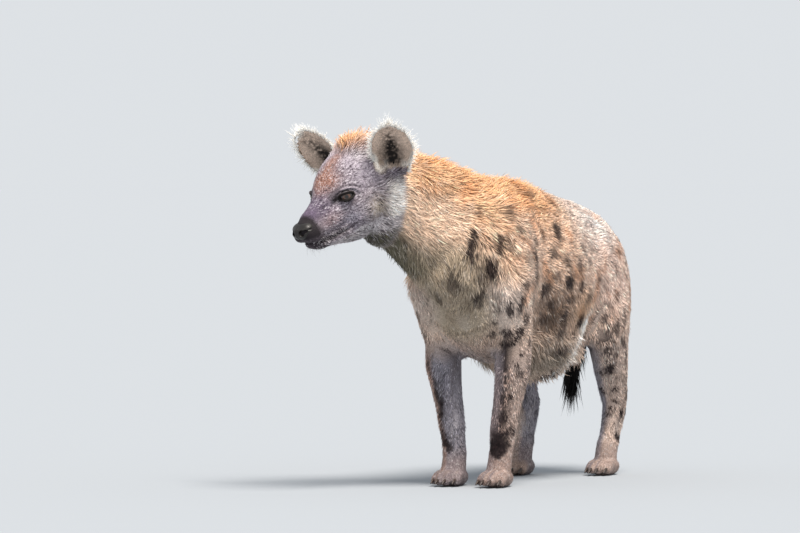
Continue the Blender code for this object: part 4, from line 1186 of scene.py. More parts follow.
# %% Washes of the face
def face_colours(points, head, wash):
    along, left, up_ = in_head(points).T
    side = np.abs(left)
    off = above_mouth(along, up_)
    high = soft_step(-0.15, -0.21, along) * soft_step(0.02, 0.08, up_)
    # Grey face, paler crown, and the marks at the foot of the ear
    wash(head, "#8B818A")
    wash(head * high, "#A79DA8")
    wash(head * hump(along, -0.225, 0.018) * hump(up_, 0.108, 0.014) * hump(side, 0.055, 0.02), "#E9E2E6")
    wash(head * hump(along, -0.248, 0.024) * hump(up_, 0.066, 0.026) * (side > 0.05), "#71656E")
    # Brown stripe over brow and bridge
    brow = hump(side, 0.0, 0.020) * soft_step(-0.235, -0.19, along) * soft_step(0.02, 0.05, up_)
    wash(head * brow * 0.80, "#9C6E59")
    bridge = hump(along, -0.140, 0.030) * hump(up_, 0.068, 0.024) * hump(side, 0.018, 0.026)
    wash(head * bridge * 0.85, "#9A6B56")
    # Dark top of the muzzle, pinkish side of it, tan cheek and the pale patch before the cheek
    wash(head * soft_step(-0.128, -0.090, along) * soft_step(-0.010, 0.012, up_), "#64586A")
    wash(head * hump(along, -0.096, 0.032) * hump(up_, -0.014, 0.016) * (side > 0.02) * 0.7, "#9E8384")
    wash(head * hump(along, -0.210, 0.030) * hump(up_, -0.026, 0.03) * 0.6, "#C4B69C")
    wash(head * hump(along, -0.142, 0.022) * hump(up_, -0.030, 0.014) * 0.7, "#B9B0BC")
    # White hairs behind the cheek, in streaks
    streaks = speckle(in_head(points) * np.array([1, 1, 0.25]), 0.0045, 31.0)
    white_band = soft_step(-0.226 - 0.004 * streaks, -0.240, along + 0.10 * (up_ + 0.03))
    white_band = white_band * soft_step(0.035, 0.00, up_) * soft_step(-0.105, -0.055, up_)
    white_band = white_band * (0.85 + 0.15 * streaks)
    wash(head * white_band, "#FFF9F2")
    # Dark upper lip, pale lower one, and the shade under the jaw
    wash(head * hump(off, 0.004, 0.016) * soft_step(-0.165, -0.10, along) * 0.85, "#4C434A")
    wash(head * soft_step(-0.010, -0.020, off) * soft_step(-0.060, -0.090, along) * (up_ < 0), "#C9C1C3")
    wash(head * soft_step(-0.084, -0.102, up_) * soft_step(-0.165, -0.195, along), "#5C5848")
    # Dark and pale flecks of single hairs
    specks = speckle(in_head(points) * np.array([0.45, 1, 1]), 0.0032) + 0.6 * speckle(points, 0.0019, 7.0)
    plain = np.maximum(soft_step(-0.085, -0.060, along) * soft_step(-0.030, -0.015, up_), white_band * 0.6)
    wash(head * soft_step(0.20, 0.80, specks) * 0.85 * (1 - plain), "#392F38")
    wash(head * soft_step(-0.25, -0.90, specks) * 0.60 * (1 - plain), "#E4DCE2")
    # Line of the mouth, and the dark skin of chin and nose
    wash(head * hump(off, 0.001, 0.0075) * soft_step(-0.160, -0.10, along) * 0.85, "#2B2428")
    wash(head * soft_step(0.004, -0.004, off) * soft_step(-0.090, -0.060, along) * 0.75, "#332C31")
    wash(head * soft_step(-0.080, -0.052, along) * soft_step(0.000, -0.020, up_) * 0.70, "#3B3338")
    wash(head * soft_step(-0.056, -0.044, along) * soft_step(-0.045, -0.03, up_), "#221C20")
    for name in SIDES:
        ring, inward, lift = eye_ring(points, name)
        # Pale ring on the brow fold, painted shade in the crease above it, painted shadow under the
        # brow fold above the lid, a bag below the eye, and the black rim with its tear line
        corner = hump(inward, 0.028, 0.012) * hump(lift, 0.000, 0.0090) * (ring < 3.5)
        wash(head * hump(ring, 2.00, 0.26) * soft_step(0, 0.006, lift) * 0.5, "#B8AEB8")
        # Painted shade: a dark line in the crease above the brow fold
        wash(head * hump(ring, 2.45, 0.20) * soft_step(0.004, 0.012, lift) * 0.60, "#3E343B")
        # Painted shadow under the brow fold, above the lid on the side toward the nose
        shadow_under_brow = hump(ring, 1.80, 0.50) * soft_step(0.000, 0.010, lift) * soft_step(0.002, 0.014, inward)
        wash(head * shadow_under_brow * 0.85, "#332930")
        wash(head * hump(inward, -0.012, 0.012) * hump(lift, -0.019, 0.007) * (ring < 3) * 0.65, "#4C4248")
        wash(np.maximum(soft_step(1.42, 1.22, ring), corner) * (ring < 4), "#17110F")


# %% Colour of a point
def colour_at(points, normals):
    """The colour of the coat at each point, as linear light."""
    place = regions(points, normals)
    x, y, z = as_home(points).T
    colour = np.tile(linear("#ECCEB9"), (len(points), 1))

    def wash(weight, shade):
        nonlocal colour
        colour = colour + (np.array(linear(shade)) - colour) * np.clip(weight, 0, 1)[:, None]

    for px, py, pz, rx, ry, rz, shade, strength in TRUNK_WASHES:
        away = ((x - px) / rx) ** 2 + ((np.abs(y) - py) / ry) ** 2 + ((z - pz) / rz) ** 2
        wash(strength * np.exp(-away), shade)
    # Neck: pale sides, a golden band, and painted shade on the throat where it faces down
    wash(place["neck"] * soft_step(0.65, 0.35, normals[:, 2]), "#F3D3B9")
    wash(place["neck"] * hump(normals[:, 2], 0.42, 0.22) * 0.8, "#F3C498")
    wash(place["neck"] * soft_step(-0.38, -0.60, normals[:, 2]), "#625D4C")
    # Chest between the forelegs
    chest = soft_step(0.30, 0.37, x) * soft_step(0.64, 0.56, z) * (1 - place["leg"])
    wash(chest * soft_step(0.12, 0.05, np.abs(y)) * 0.8, "#A2957F")
    # Mane with tawny locks, and brown clouds over shoulder, flank and rump
    tawny = soft_step(-0.1, 0.8, speckle(points, 0.045, 12.0))
    wash(place["mane"], "#F7C08E")
    upper = soft_step(0.0, 0.35, normals[:, 2])
    wash(np.maximum(place["mane"], place["neck"] * 0.6 * upper) * tawny * 0.75, "#EBA26A")
    wash(soft_step(0.25, 0.8, speckle(points, 0.050, 14.0)) * (x < 0.34) * (z > 0.40) * 0.50, "#CC9064")
    wash(soft_step(0.25, 0.8, speckle(points, 0.030, 15.0)) * (x < 0.30) * (z > 0.36) * 0.35, "#7A5A48")
    # Flecks of dark and pale hair
    fine = speckle(points, 0.009, 21.0) * (1 - place["leg"])
    wash(soft_step(0.25, 0.9, fine) * 0.30, "#6B5244")
    wash(soft_step(-0.25, -0.9, fine) * 0.30, "#FFF4EA")
    # White fold before the thigh
    fold = hump(x, -0.104 + 0.46 * (0.410 - z), 0.017)
    fold = fold * soft_step(0.285, 0.305, z) * soft_step(0.440, 0.405, z)
    wash(fold * (np.abs(y) > 0.04) * (1 - place["leg"]), "#FFF6EE")
    # Legs: warm behind, grey in front, paler on the inner side, and dark paws
    front = soft_step(0.25, 0.80, normals[:, 0])
    inner = soft_step(0.10, -0.40, normals[:, 1] * np.sign(y))
    strip = soft_step(0.45, 0.85, normals @ np.array((0.92, -0.39, 0.0))) * soft_step(0.34, 0.26, z)
    wash(place["leg"] * (x < 0) * 0.9, "#DCC4B6")
    wash(place["leg"] * (x > 0) * 0.9, "#9F9595")
    wash(place["leg"] * (x > 0) * (y > 0) * soft_step(-0.2, 0.3, normals[:, 1]) * 0.85, "#D3B8A9")
    wash(place["leg"] * np.maximum(front * (x > 0) * (y < 0), inner), "#9C97A1")
    pinkish = np.where(y > 0, strip * 0.45, soft_step(0.1, 0.5, -normals[:, 1]))
    wash(place["leg"] * (x > 0) * pinkish, "#B69384")
    wash(place["paw"] * 0.65, "#85706A")
    # Dark and pale hairs down the legs, and the black tail
    hairs = speckle(as_home(points) * np.array([1, 1, 0.35]), 0.0026, 9.0)
    wash(place["leg"] * soft_step(0.15, 0.9, hairs) * 0.32, "#554A4A")
    wash(place["leg"] * soft_step(-0.15, -0.9, hairs) * 0.40, "#E6DEDC")
    wash(place["tail"] * soft_step(0.50, 0.40, z), "#1D1815")
    # Spots everywhere but on head and ears, which have washes of their own; two entries of the
    # spot table paint shade, under the chest and low on the flank
    spotted = (1 - place["head"]) * (1 - place["ear"])
    wash(spot_shade(points) * spotted * mixed(0.96, (place["leg"], 1.0)), "#2A1E1F")
    face_colours(points, place["head"] * (1 - place["crest"]), wash)
    ear_colours(points, normals, wash)
    cloudy = 1 + 0.10 * speckle(points, 0.040, 3.0) + 0.12 * speckle(points, 0.011, 5.0)
    return np.clip(colour * cloudy[:, None], 0, 1)


# %% Paint the skin
skin_colours = colour_at(skin_points, skin_normals)
covered = regions(skin_points, skin_normals)
add_colours(skin.data, skin_colours * mixed(0.70, (covered["head"], 0.92), (covered["ear"], 0.92))[:, None])
print("skin painted")


# %% [markdown]
# ## Coat
# Hair on a real hyena is rough and loose: 20 to 40 mm on the trunk, longer on mane and belly, 10 mm
# on the legs and a few millimetres on the face. Each tuft is a thin, flat, three-sided blade that
# tapers, leans over along the lie, and bends back to the skin. All are written as arrays at once.
# For baking, each tuft is also a small patch on a map, at its root's place on an unrolled skin.

# %% [markdown]
# ### Fur and hair as materials
# Hair is keratin in thin scaled threads: it is dull, with only a weak gloss, and darker at the root
# than at the tip. The skin under it is short dense fur, whose grain of about 2 mm is bump.

# %% Hair
ROOT_TONE, TIP_TONE = 0.86, 1.26
coat_hair, hair_nodes, hair_shader = new_material(
    "coat_hair", {"Roughness": 0.65, "Specular IOR Level": 0.18, "Sheen Weight": 0.02}
)
hair_paint = add_node(hair_nodes, "ShaderNodeAttribute", {"attribute_name": "coat_colour"})
along_hair = add_node(hair_nodes, "ShaderNodeAttribute", {"attribute_name": "along_hair"})
hair_tone = add_node(
    hair_nodes, "ShaderNodeMapRange", inputs={"To Min": ROOT_TONE, "To Max": TIP_TONE},
    links={"Value": along_hair.outputs["Fac"]},
)
hair_shade = add_node(
    hair_nodes, "ShaderNodeVectorMath", {"operation": "SCALE"},
    links={"Vector": hair_paint.outputs["Color"], "Scale": hair_tone.outputs["Result"]},
)
hair_nodes.links.new(hair_shade.outputs["Vector"], hair_shader.inputs["Base Color"])

# %% Short fur on the skin
GRAIN_PER_METRE, GRAIN_DEPTH = 420.0, 0.0012
short_fur, skin_nodes, skin_shader = new_material(
    "short_fur_on_skin", {"Roughness": 0.75, "Specular IOR Level": 0.25}
)
paint = add_node(skin_nodes, "ShaderNodeAttribute", {"attribute_name": "coat_colour"})
skin_place = add_node(skin_nodes, "ShaderNodeTexCoord")
grain = add_node(
    skin_nodes, "ShaderNodeTexNoise", inputs={"Scale": GRAIN_PER_METRE, "Detail": 3.0},
    links={"Vector": skin_place.outputs["Object"]},
)
fleck = add_node(
    skin_nodes, "ShaderNodeMapRange",
    inputs={"From Min": 0.35, "From Max": 0.65, "To Min": 0.62, "To Max": 1.30},
    links={"Value": grain.outputs["Fac"]},
)
mottled = add_node(
    skin_nodes, "ShaderNodeVectorMath", {"operation": "SCALE"},
    links={"Vector": paint.outputs["Color"], "Scale": fleck.outputs["Result"]},
)
bump = add_node(
    skin_nodes, "ShaderNodeBump", inputs={"Strength": 0.6, "Distance": GRAIN_DEPTH},
    links={"Height": grain.outputs["Fac"]},
)
skin_nodes.links.new(mottled.outputs["Vector"], skin_shader.inputs["Base Color"])
skin_nodes.links.new(bump.outputs["Normal"], skin_shader.inputs["Normal"])
skin.data.materials.append(short_fur)
print("materials", coat_hair.name, short_fur.name)


# %% [markdown]
# ### Roots
# A real coat has many more hairs than a mesh can carry, so one tuft stands for some twenty hairs. The
# tufts are spread evenly, denser where they are short, and lids, lips and nose stay bare.

# %% Roots
def sampled(density, seed):
    """Roots spread evenly over the skin, as many as density says for each square metre."""
    a, b, c = (skin_points[skin_corners[:, k]] for k in range(3))
    area = np.linalg.norm(np.cross(b - a, c - a), axis=1) / 2
    expected = np.cumsum(area * density[skin_corners].mean(axis=1))
    draw = np.random.default_rng(seed)
    stops = np.arange(int(expected[-1])) + draw.random(int(expected[-1]))
    chosen = np.minimum(np.searchsorted(expected, stops), len(skin_corners) - 1)
    u, v = draw.random((2, len(chosen)))
    over = u + v > 1
    u[over], v[over] = 1 - u[over], 1 - v[over]
    shares = (1 - u - v, u, v)
    roots = sum(k[:, None] * skin_points[skin_corners[chosen, i]] for i, k in enumerate(shares))
    outs = unit(sum(k[:, None] * skin_normals[skin_corners[chosen, i]] for i, k in enumerate(shares)))
    return roots, outs


def bare_skin(points):
    """Where no hair grows: the rims of the lids, the lips' edge and the skin round the nose."""
    along, _, up_ = in_head(points).T
    off = above_mouth(along, up_)
    bare = soft_step(0.0026, 0.0014, np.abs(off)) * (along > -0.165)
    bare = np.maximum(bare, soft_step(-0.046, -0.041, along) * soft_step(-0.052, -0.042, up_))
    for name in SIDES:
        bare = np.maximum(bare, soft_step(1.45, 1.30, eye_ring(points, name)[0]))
    return bare


# %% Tufts for each square metre
place = regions(skin_points, skin_normals)
density = mixed(
    np.full(len(skin_points), 66000.0),
    (place["neck"], 62000.0), (place["mane"], 62000.0), (place["belly"], 40000.0), (place["leg"], 62000.0),
    (place["head"], 170000.0), (place["crest"], 110000.0), (place["ear"], 110000.0), (place["paw"], 70000.0),
)
density *= 1 - bare_skin(skin_points)
roots, outs = sampled(density, 4)
print("tufts", len(roots))


# %% [markdown]
# ### Tufts
# A tuft is a row of three-sided rings that ends in a point. Its sway, length, rise, droop and curl
# vary from one to the next, part by chance and part in soft waves, so that neighbours clump.

# %% Patches for baking
PATCH_HALF = 0.0015


def bake_patches(mesh, across, along, levels):
    """A map where each tuft is a patch 0.003 wide at its root's place on the unrolled skin."""
    spans = [(k - k.min()) / max(float(np.ptp(k)), 1e-9) * 0.98 + 0.01 for k in (across, along)]
    rings = [(level / levels, k) for level in range(levels) for k in range(3)]
    width = np.array([(k - 1) * (1 - 0.6 * s) for s, k in rings] + [0.0])
    rise = np.array([2 * s - 1 + 0.2 * (k == 1) for s, k in rings] + [1.0])
    u = (spans[0][:, None] + width * PATCH_HALF).ravel()
    v = (spans[1][:, None] + rise * PATCH_HALF).ravel()
    corner_points = np.empty(len(mesh.loops), np.int32)
    mesh.loops.foreach_get("vertex_index", corner_points)
    layer = mesh.uv_layers.new(name="OFBake")
    layer.uv.foreach_set("vector", np.stack([u, v], axis=1)[corner_points].astype(np.float32).ravel())


# %% Tufts
def tufts(name, roots, outs, lies, lengths, widths, lifts, colours, levels, seed, unrolled, spread=0.14,
          wander=0.40, loose=1.0):
    """Thin tapered tufts as one mesh: three sides, flat across, bent back towards the skin."""
    draw = np.random.default_rng(seed)
    count = len(roots)
    widths = np.broadcast_to(np.asarray(widths, float), count)
    sway = loose * np.radians(9) * draw.normal(size=count) + wander * ripple(roots, 0.08, 11)
    beside = np.cross(outs, lies)
    lies = lies * np.cos(sway)[:, None] + beside * np.sin(sway)[:, None]
    beside = np.cross(outs, lies)
    lengths = lengths * draw.uniform(0.70, 1.20, count) * (1 + 0.16 * ripple(roots, 0.05, 12))
    rise = np.radians(lifts * draw.uniform(0.6, 1.3, count)) * (1 + 0.28 * ripple(roots, 0.06, 13))
    droop = draw.uniform(0.30, 0.60, count)
    curl = loose * 0.13 * draw.normal(size=count)
    rings = []
    for level in range(levels + 1):
        s = level / levels
        height = np.sin(rise) * lengths * (s - droop * s * s) - 0.0010
        centre = roots + lies * (lengths * s * np.cos(rise))[:, None] + outs * height[:, None]
        centre = centre + beside * (lengths * curl * s * s)[:, None]
        half = widths / 2 * (0.75 + 0.9 * s - 1.45 * s * s)
        if level == levels:
            rings.append(centre)
        else:
            wide = beside * half[:, None]
            rings += [centre - wide, centre + outs * (half * 0.4)[:, None], centre + wide]
    per = levels * 3 + 1
    faces = [(0, 2, 1)]
    for level in range(levels - 1):
        for s in range(3):
            a, b = level * 3 + s, level * 3 + (s + 1) % 3
            faces += [(a, b, b + 3), (a, b + 3, a + 3)]
    last = (levels - 1) * 3
    faces += [(last + s, last + (s + 1) % 3, last + 3) for s in range(3)]
    faces = (np.arange(count)[:, None, None] * per + np.array(faces)[None]).reshape(-1, 3)
    points = np.stack(rings, axis=1).reshape(-1, 3)
    points[:, 2] = np.maximum(points[:, 2], 0.0003)
    mesh = mesh_from_arrays(name, points, faces)
    along = np.array([level / levels for level in range(levels) for _ in range(3)] + [1.0])
    add_values(mesh, "along_hair", np.tile(along, count))
    vary = 1 + spread * draw.normal(size=count)[:, None]
    layers = np.clip(np.broadcast_to(colours, (levels + 1, count, 3)) * np.clip(vary, 0.4, 1.7), 0, 1)
    rows = [layers[level] for level in range(levels) for _ in range(3)] + [layers[levels]]
    add_colours(mesh, np.stack(rows, axis=1).reshape(-1, 3))
    bake_patches(mesh, *unrolled, levels)
    made = object_of(name, mesh)
    mesh.materials.append(coat_hair)
    return made


# %% [markdown]
# ### An unrolled skin
# The body is unrolled like a tube round its spine, each leg and the head round an axis, and the ears
# are laid out side by side. A tuft's patch then lies where its root does.

# %% Unrolled skin
def unrolled_at(points, kind):
    """Where points lie on the skin when a part of the body is unrolled like a tube."""
    x, y, z = as_home(points).T
    if kind in ("body", "mane"):
        axis = through(((-0.45, 0, 0.53), (0.20, 0, 0.53), (0.40, -0.06, 0.66), (0.60, -0.18, 0.74)), 10)
        turn = np.arctan2(y - np.interp(x, axis[:, 0], axis[:, 1]), z - np.interp(x, axis[:, 0], axis[:, 2]))
        return turn, x
    if kind == "legs":
        leg = np.where(x > 0, 0, 2) + np.where(y > 0, 0, 1)
        centres = np.array([(0.275, 0.085), (0.275, -0.085), (-0.300, 0.105), (-0.250, -0.115)])[leg]
        return leg + (np.arctan2(y - centres[:, 1], x - centres[:, 0]) / (2 * math.pi) + 0.5) * 0.96, z
    if kind == "ears":
        u, v = np.zeros(len(points)), np.zeros(len(points))
        for k, name in enumerate(SIDES):
            height, across, out = ear_place(points, name)
            mine = on_ear(points, name) > 0.2
            tile = across + 0.13 * (out < -0.01)
            u[mine], v[mine] = tile[mine] + 0.30 * k, height[mine]
        return u, v
    along, left, up_ = in_head(points).T
    return np.arctan2(left, up_ + 0.01), along


# %% [markdown]
# ### Grow the coat
# Hair is 7 mm long on the face, 29 mm on the flank, 58 mm in the mane and 66 mm under the belly, and
# it stands steepest on the crest. The measures of neighbouring regions blend, so no border shows.
# Some tufts are darker or paler than the rest, as single hairs are, which keeps the coat from
# looking like cloth. A region is cut into pieces of fewer than 200,000 triangles.

# %% Length and width in metres, and lift in degrees
place = regions(roots, outs)
x_home = as_home(roots)[:, 0]
short_face = place["head"] * (1 - place["crest"])
lengths = mixed(
    np.full(len(roots), 0.029),
    (soft_step(-0.10, -0.25, x_home), 0.024), (place["neck"], 0.042), (place["mane"], 0.058),
    (place["crest"], 0.058), (place["belly"], 0.066), (place["chest_floor"], 0.017),
    (place["leg"], 0.0145), (place["paw"], 0.007), (place["tail"], 0.020), (short_face, 0.0076),
    (place["ear"], 0.0066),
)
widths = mixed(
    np.full(len(roots), 0.0026),
    (np.maximum(place["neck"], place["mane"]), 0.0022), (place["leg"], 0.0018), (place["paw"], 0.0016),
    (short_face, 0.0013), (place["ear"], 0.0013),
)
lifts = mixed(
    np.full(len(roots), 18.0),
    (place["mane"], 32.0), (place["crest"], 58.0), (place["belly"], 40.0), (place["chest_floor"], 15.0),
    (place["leg"], 20.0), (short_face, 18.0), (place["ear"], 22.0),
)
along, left, up_ = in_head(roots).T
ruff = place["head"] * soft_step(-0.195, -0.250, along) * soft_step(0.07, 0.01, up_)
under_jaw = place["head"] * soft_step(-0.055, -0.075, up_) * soft_step(-0.09, -0.15, along)
lengths = mixed(lengths, (under_jaw, 0.014), (ruff, 0.026))
widths = mixed(widths, (under_jaw, 0.0018), (ruff, 0.0022))
lifts = mixed(lifts, (under_jaw, 30.0))
lies = lie_at(roots, outs)
shown = lengths * (1 - np.maximum(place["head"], place["ear"]))
print("tufts", round(float(lengths.min()) * 1000, 1), "to", round(float(lengths.max()) * 1000, 1), "mm long")

# %% Dark, pale and bristly tufts among the rest
DARK_TONE, PALE_TONE, BRISTLE_COLOUR = 0.45, 1.35, linear("#D8D1D5")
draw = np.random.default_rng(17)
grizzle = mixed(0.07, (place["leg"], 0.24), (short_face, 0.22), (place["ear"], 0.12))
chance = draw.random(len(roots))
off = above_mouth(along, up_)
bristly = place["head"] * hump(off, -0.002, 0.016) * soft_step(-0.150, -0.110, along)
cheek_ruff = place["head"] * soft_step(-0.205, -0.240, along) * soft_step(0.03, 0.0, up_)
tones = np.ones(len(roots))
tones[chance < grizzle * (1 - cheek_ruff)] = DARK_TONE
tones[chance > 1 - grizzle * 0.8] = PALE_TONE
bristles = (chance > 0.4) & (chance < 0.4 + 0.30 * bristly)


def painted_tufts(chosen, levels):
    """Colours from root to tip, each that of the markings at its own place."""
    layers = []
    for share in np.linspace(0, 1, levels + 1):
        layer = colour_at(roots[chosen] + lies[chosen] * (shown[chosen] * share)[:, None], outs[chosen])
        layer *= tones[chosen][:, None]
        layer[bristles[chosen]] = BRISTLE_COLOUR
        layers.append(layer)
    return np.stack(layers)


# %% Pieces of the coat
MOST_TRIANGLES = 190000
ears = place["ear"] > 0.5
face = ~ears & (short_face > 0.5)
limbs = ~ears & ~face & ((place["leg"] > 0.5) | (place["paw"] > 0.5))
body = ~ears & ~face & ~limbs
shaggy = body & (np.maximum.reduce([place[k] for k in ("neck", "mane", "belly", "crest")]) > 0.5)
coat_pieces = []
for kind, chosen, levels, spread in (
    ("face", face, 2, 0.20), ("ears", ears, 2, 0.22), ("legs", limbs, 2, 0.18),
    ("body", body & ~shaggy, 2, 0.13), ("mane", shaggy, 3, 0.13),
):
    picked = np.flatnonzero(chosen)
    unrolled = unrolled_at(roots[picked], kind)
    parts_needed = math.ceil(len(picked) * (levels * 6 - 2) / MOST_TRIANGLES)
    order = picked[np.argsort(unrolled[1])]
    for k, share in enumerate(np.array_split(order, parts_needed)):
        piece = tufts(
            f"coat_{kind}_{k + 1}", roots[share], outs[share], lies[share], lengths[share], widths[share],
            lifts[share], painted_tufts(share, levels), levels=levels, seed=40 + k,
            unrolled=unrolled_at(roots[share], kind), spread=spread,
        )
        coat_pieces.append(piece)
        print(piece.name, len(share), "tufts", len(piece.data.polygons), "triangles")

# %% [markdown]
# ## Fringes, whiskers and the tail brush
# Long pale hairs stand off the rim of each ear and soften its outline. Whiskers grow on the lips,
# most short and a few long. White hairs hang along the fold before each thigh, and long black ones
# make the brush. They could be combed one by one, but a rule for where they root and how they fall
# is quicker to change, and it uses the same tufts and the same material as the coat.

# %% Ear fringe
FRINGE_HAIRS, FRINGE_LENGTH = 900, 0.0240


def ear_rim(name, seed):
    """Roots round the rim of an ear, the way its face looks, the way out, and how far round each is."""
    draw = np.random.default_rng(seed)
    root, rise, face, across = (np.array(k) for k in ear_axes(name))
    v = np.concatenate([np.linspace(0.08, 1, 60), np.ones(13), np.linspace(1, 0.08, 60)])
    t = np.concatenate([np.full(60, -1.0), np.linspace(-1, 1, 13), np.full(60, 1.0)])
    height = EAR_LENGTH * (1.12 * v - 0.12)
    path = root + np.outer(height, rise) + np.outer(ear_half_width(v) * t, across)
    hollow = np.sqrt(np.maximum(0, 1 - t * t))
    path += np.outer(0.020 * v * v - 0.009 - EAR_CUP * (1 - 0.55 * v) * hollow, face)
    run = np.concatenate([[0], np.cumsum(np.linalg.norm(np.diff(path, axis=0), axis=1))])
    at = draw.uniform(0, run[-1], FRINGE_HAIRS)
    points = np.stack([np.interp(at, run, path[:, k]) for k in range(3)], axis=1)
    middle = root + rise * EAR_LENGTH * 0.42 - face * 0.010
    stray = np.outer(draw.normal(size=FRINGE_HAIRS) * 0.016, face)
    away = unit(points - middle + stray + draw.normal(size=(FRINGE_HAIRS, 3)) * 0.007)
    points = points + np.outer(draw.normal(size=FRINGE_HAIRS) * 0.0020, face) - away * 0.003
    return points, square_to(face, away), away, at / run[-1]


rims = [ear_rim(name, 60 + k) for k, name in enumerate(SIDES)]
rim_roots, rim_outs, rim_lies, round_rim = (np.concatenate(parts) for parts in zip(*rims))
tile = np.concatenate([np.random.default_rng(k).random(FRINGE_HAIRS) + 1.1 * k for k in range(len(SIDES))])
long_top = 0.50 + 0.50 * np.sin(np.pi * np.clip(round_rim * 1.1 - 0.05, 0, 1))
long_top *= 0.35 + np.random.default_rng(67).random(len(round_rim)) ** 2.0
coat_pieces.append(tufts(
    "ear_fringe", rim_roots, rim_outs, rim_lies, FRINGE_LENGTH * long_top,
    widths=0.0011, lifts=4.0, colours=linear("#FBF7F0"), levels=3, seed=66,
    unrolled=(round_rim, tile), spread=0.08, wander=0.15,
))
print("ear fringe", len(rim_roots), "hairs")

# %% Whiskers
WHISKERS_TRIED, LONG_WHISKERS = 260, 0.07
DOWN = np.array([0.0, 0.0, -1.0])
head_matrix = np.array(head_axes)
draw = np.random.default_rng(77)
whisker_roots, whisker_ways, whisker_lengths = [], [], []
for _ in range(WHISKERS_TRIED):
    side = draw.choice([-1, 1])
    along_place = draw.uniform(-0.135, -0.040)
    below = draw.random() < 0.6
    from_lip = draw.uniform(-0.026, -0.006) if below else draw.uniform(0.006, 0.022)
    up_place = np.interp(along_place, MOUTH[:, 0], MOUTH[:, 1]) + from_lip
    way = head_direction(draw.normal() * 0.15, side, -0.2)
    hit, outward = skin_tree.ray_cast(Vector(head_point(along_place, 0, up_place)), way)[:2]
    if hit is None:
        continue
    lean = np.array([draw.uniform(-1.4, -0.5), 0, draw.uniform(-1.0, -0.1)])
    whisker_roots.append(hit)
    whisker_ways.append(unit(np.array(outward) * 0.7 + head_matrix @ lean))
    short = draw.random() < 1 - LONG_WHISKERS
    whisker_lengths.append(draw.uniform(0.006, 0.012) if short else draw.uniform(0.018, 0.028))
whisker_roots, whisker_ways = np.array(whisker_roots), np.array(whisker_ways)
bent = unit(whisker_ways * 0.8 + square_to(DOWN, whisker_ways) * 0.6)
whisker_outs = unit(np.cross(np.cross(bent, whisker_ways), bent))
order = np.arange(len(whisker_roots))
coat_pieces.append(tufts(
    "whiskers", whisker_roots, whisker_outs, bent, np.array(whisker_lengths),
    widths=0.0008, lifts=2.0, colours=linear("#DDD8DA"), levels=3, seed=78,
    unrolled=(order % 29, order // 29), spread=0.10,
))
print("whiskers", len(whisker_roots))

# %% White fringe of the fold before the thigh
FOLD_HAIRS, FOLD_FALL = 560, np.array([0.15, 0.0, -1.0])
FOLD = np.array((
    (-0.106, 0.123, 0.415), (-0.100, 0.116, 0.390), (-0.093, 0.108, 0.366),
    (-0.086, 0.099, 0.343), (-0.058, 0.090, 0.320), (-0.050, 0.074, 0.299),
))
draw = np.random.default_rng(31)
fold_roots, fold_outs = [], []
for side in SIDES.values():
    at = draw.uniform(0, 1, FOLD_HAIRS) * (len(FOLD) - 1)
    for point in on_path(FOLD, at) + draw.normal(size=(FOLD_HAIRS, 3)) * 0.004:
        hit, outward = skin_tree.find_nearest(Vector(point * np.array([1, side, 1])) + HOME)[:2]
        fold_roots.append(hit)
        fold_outs.append(outward)
fold_roots, fold_outs = np.array(fold_roots), np.array(fold_outs)
hang = 0.034 + 0.018 * soft_step(-0.11, -0.06, fold_roots[:, 0] - HOME.x)
fold_map = (fold_roots[:, 0], fold_roots[:, 2] + (fold_roots[:, 1] > HOME.y) * 0.3)
coat_pieces.append(tufts(
    "fold_fringe", fold_roots, fold_outs, square_to(FOLD_FALL, fold_outs), hang,
    widths=0.0026, lifts=30.0, colours=linear("#FFFAF4"), levels=4, seed=32,
    unrolled=fold_map, spread=0.12, wander=0.20,
))
print("fold fringe", len(fold_roots), "hairs")

# %% Tail brush
BRUSH_HAIRS, BRUSH_START, BRUSH_ROOM = 2150, 0.48, 0.016
draw = np.random.default_rng(8)
tail_path = through([row[:3] for row in TAIL_ROWS], 12)
at = draw.uniform(BRUSH_START, 1.0, BRUSH_HAIRS) * (len(tail_path) - 1)
spin = draw.uniform(0, 2 * math.pi, BRUSH_HAIRS)
outward = np.stack([np.cos(spin), np.sin(spin), np.zeros(BRUSH_HAIRS)], axis=1)
back = 0.15 + 0.020 * draw.normal(size=BRUSH_HAIRS)
aside = 0.018 * draw.normal(size=BRUSH_HAIRS)
fall = unit(np.stack([back, aside, -np.ones(BRUSH_HAIRS)], axis=1))
outward = square_to(outward, fall)
brush = tufts(
    "tail_brush_hair", on_path(tail_path, at) + outward * BRUSH_ROOM + np.array(HOME), outward, fall,
    draw.uniform(0.06, 0.13, BRUSH_HAIRS), widths=0.0024, lifts=-5.0, colours=linear("#0F0B0A"),
    levels=5, seed=90, unrolled=(spin, at), spread=0.30, wander=0.12, loose=0.45,
)
print("brush", BRUSH_HAIRS, "hairs")

# %% [markdown]
# ## Eyes
# An eye is a ball with a slightly raised cornea. Colour runs outwards from the line of sight: black
# pupil, brown iris, dark rim, black past the rim. The surface is wet, so it is nearly mirror smooth
# under a clear coat, and the small bright reflection is what makes the animal look alive.

# %% Eyeball
CORNEA_RISE = 0.0009


def eyeball(name):
    """A ball with a raised cornea, and the distance of each point from the line of sight."""
    centre, axes = EYE_FRAMES[name]
    made = object_of(f"eyeball_{name}", ball(centre, (EYE_RADIUS * 0.975,) * 3, axes, 6))
    points = points_of(made.data)
    out, inward, lift = eye_place(points, name)
    away = np.sqrt(inward**2 + lift**2) * np.where(out > 0, 1, 9)
    cornea = CORNEA_RISE * soft_step(0.010, 0.004, away)
    put_points(made.data, points + unit(points - np.array(centre)) * cornea[:, None])
    add_values(made.data, "from_pupil", away * 1000)
    made.data.shade_smooth()
    return made


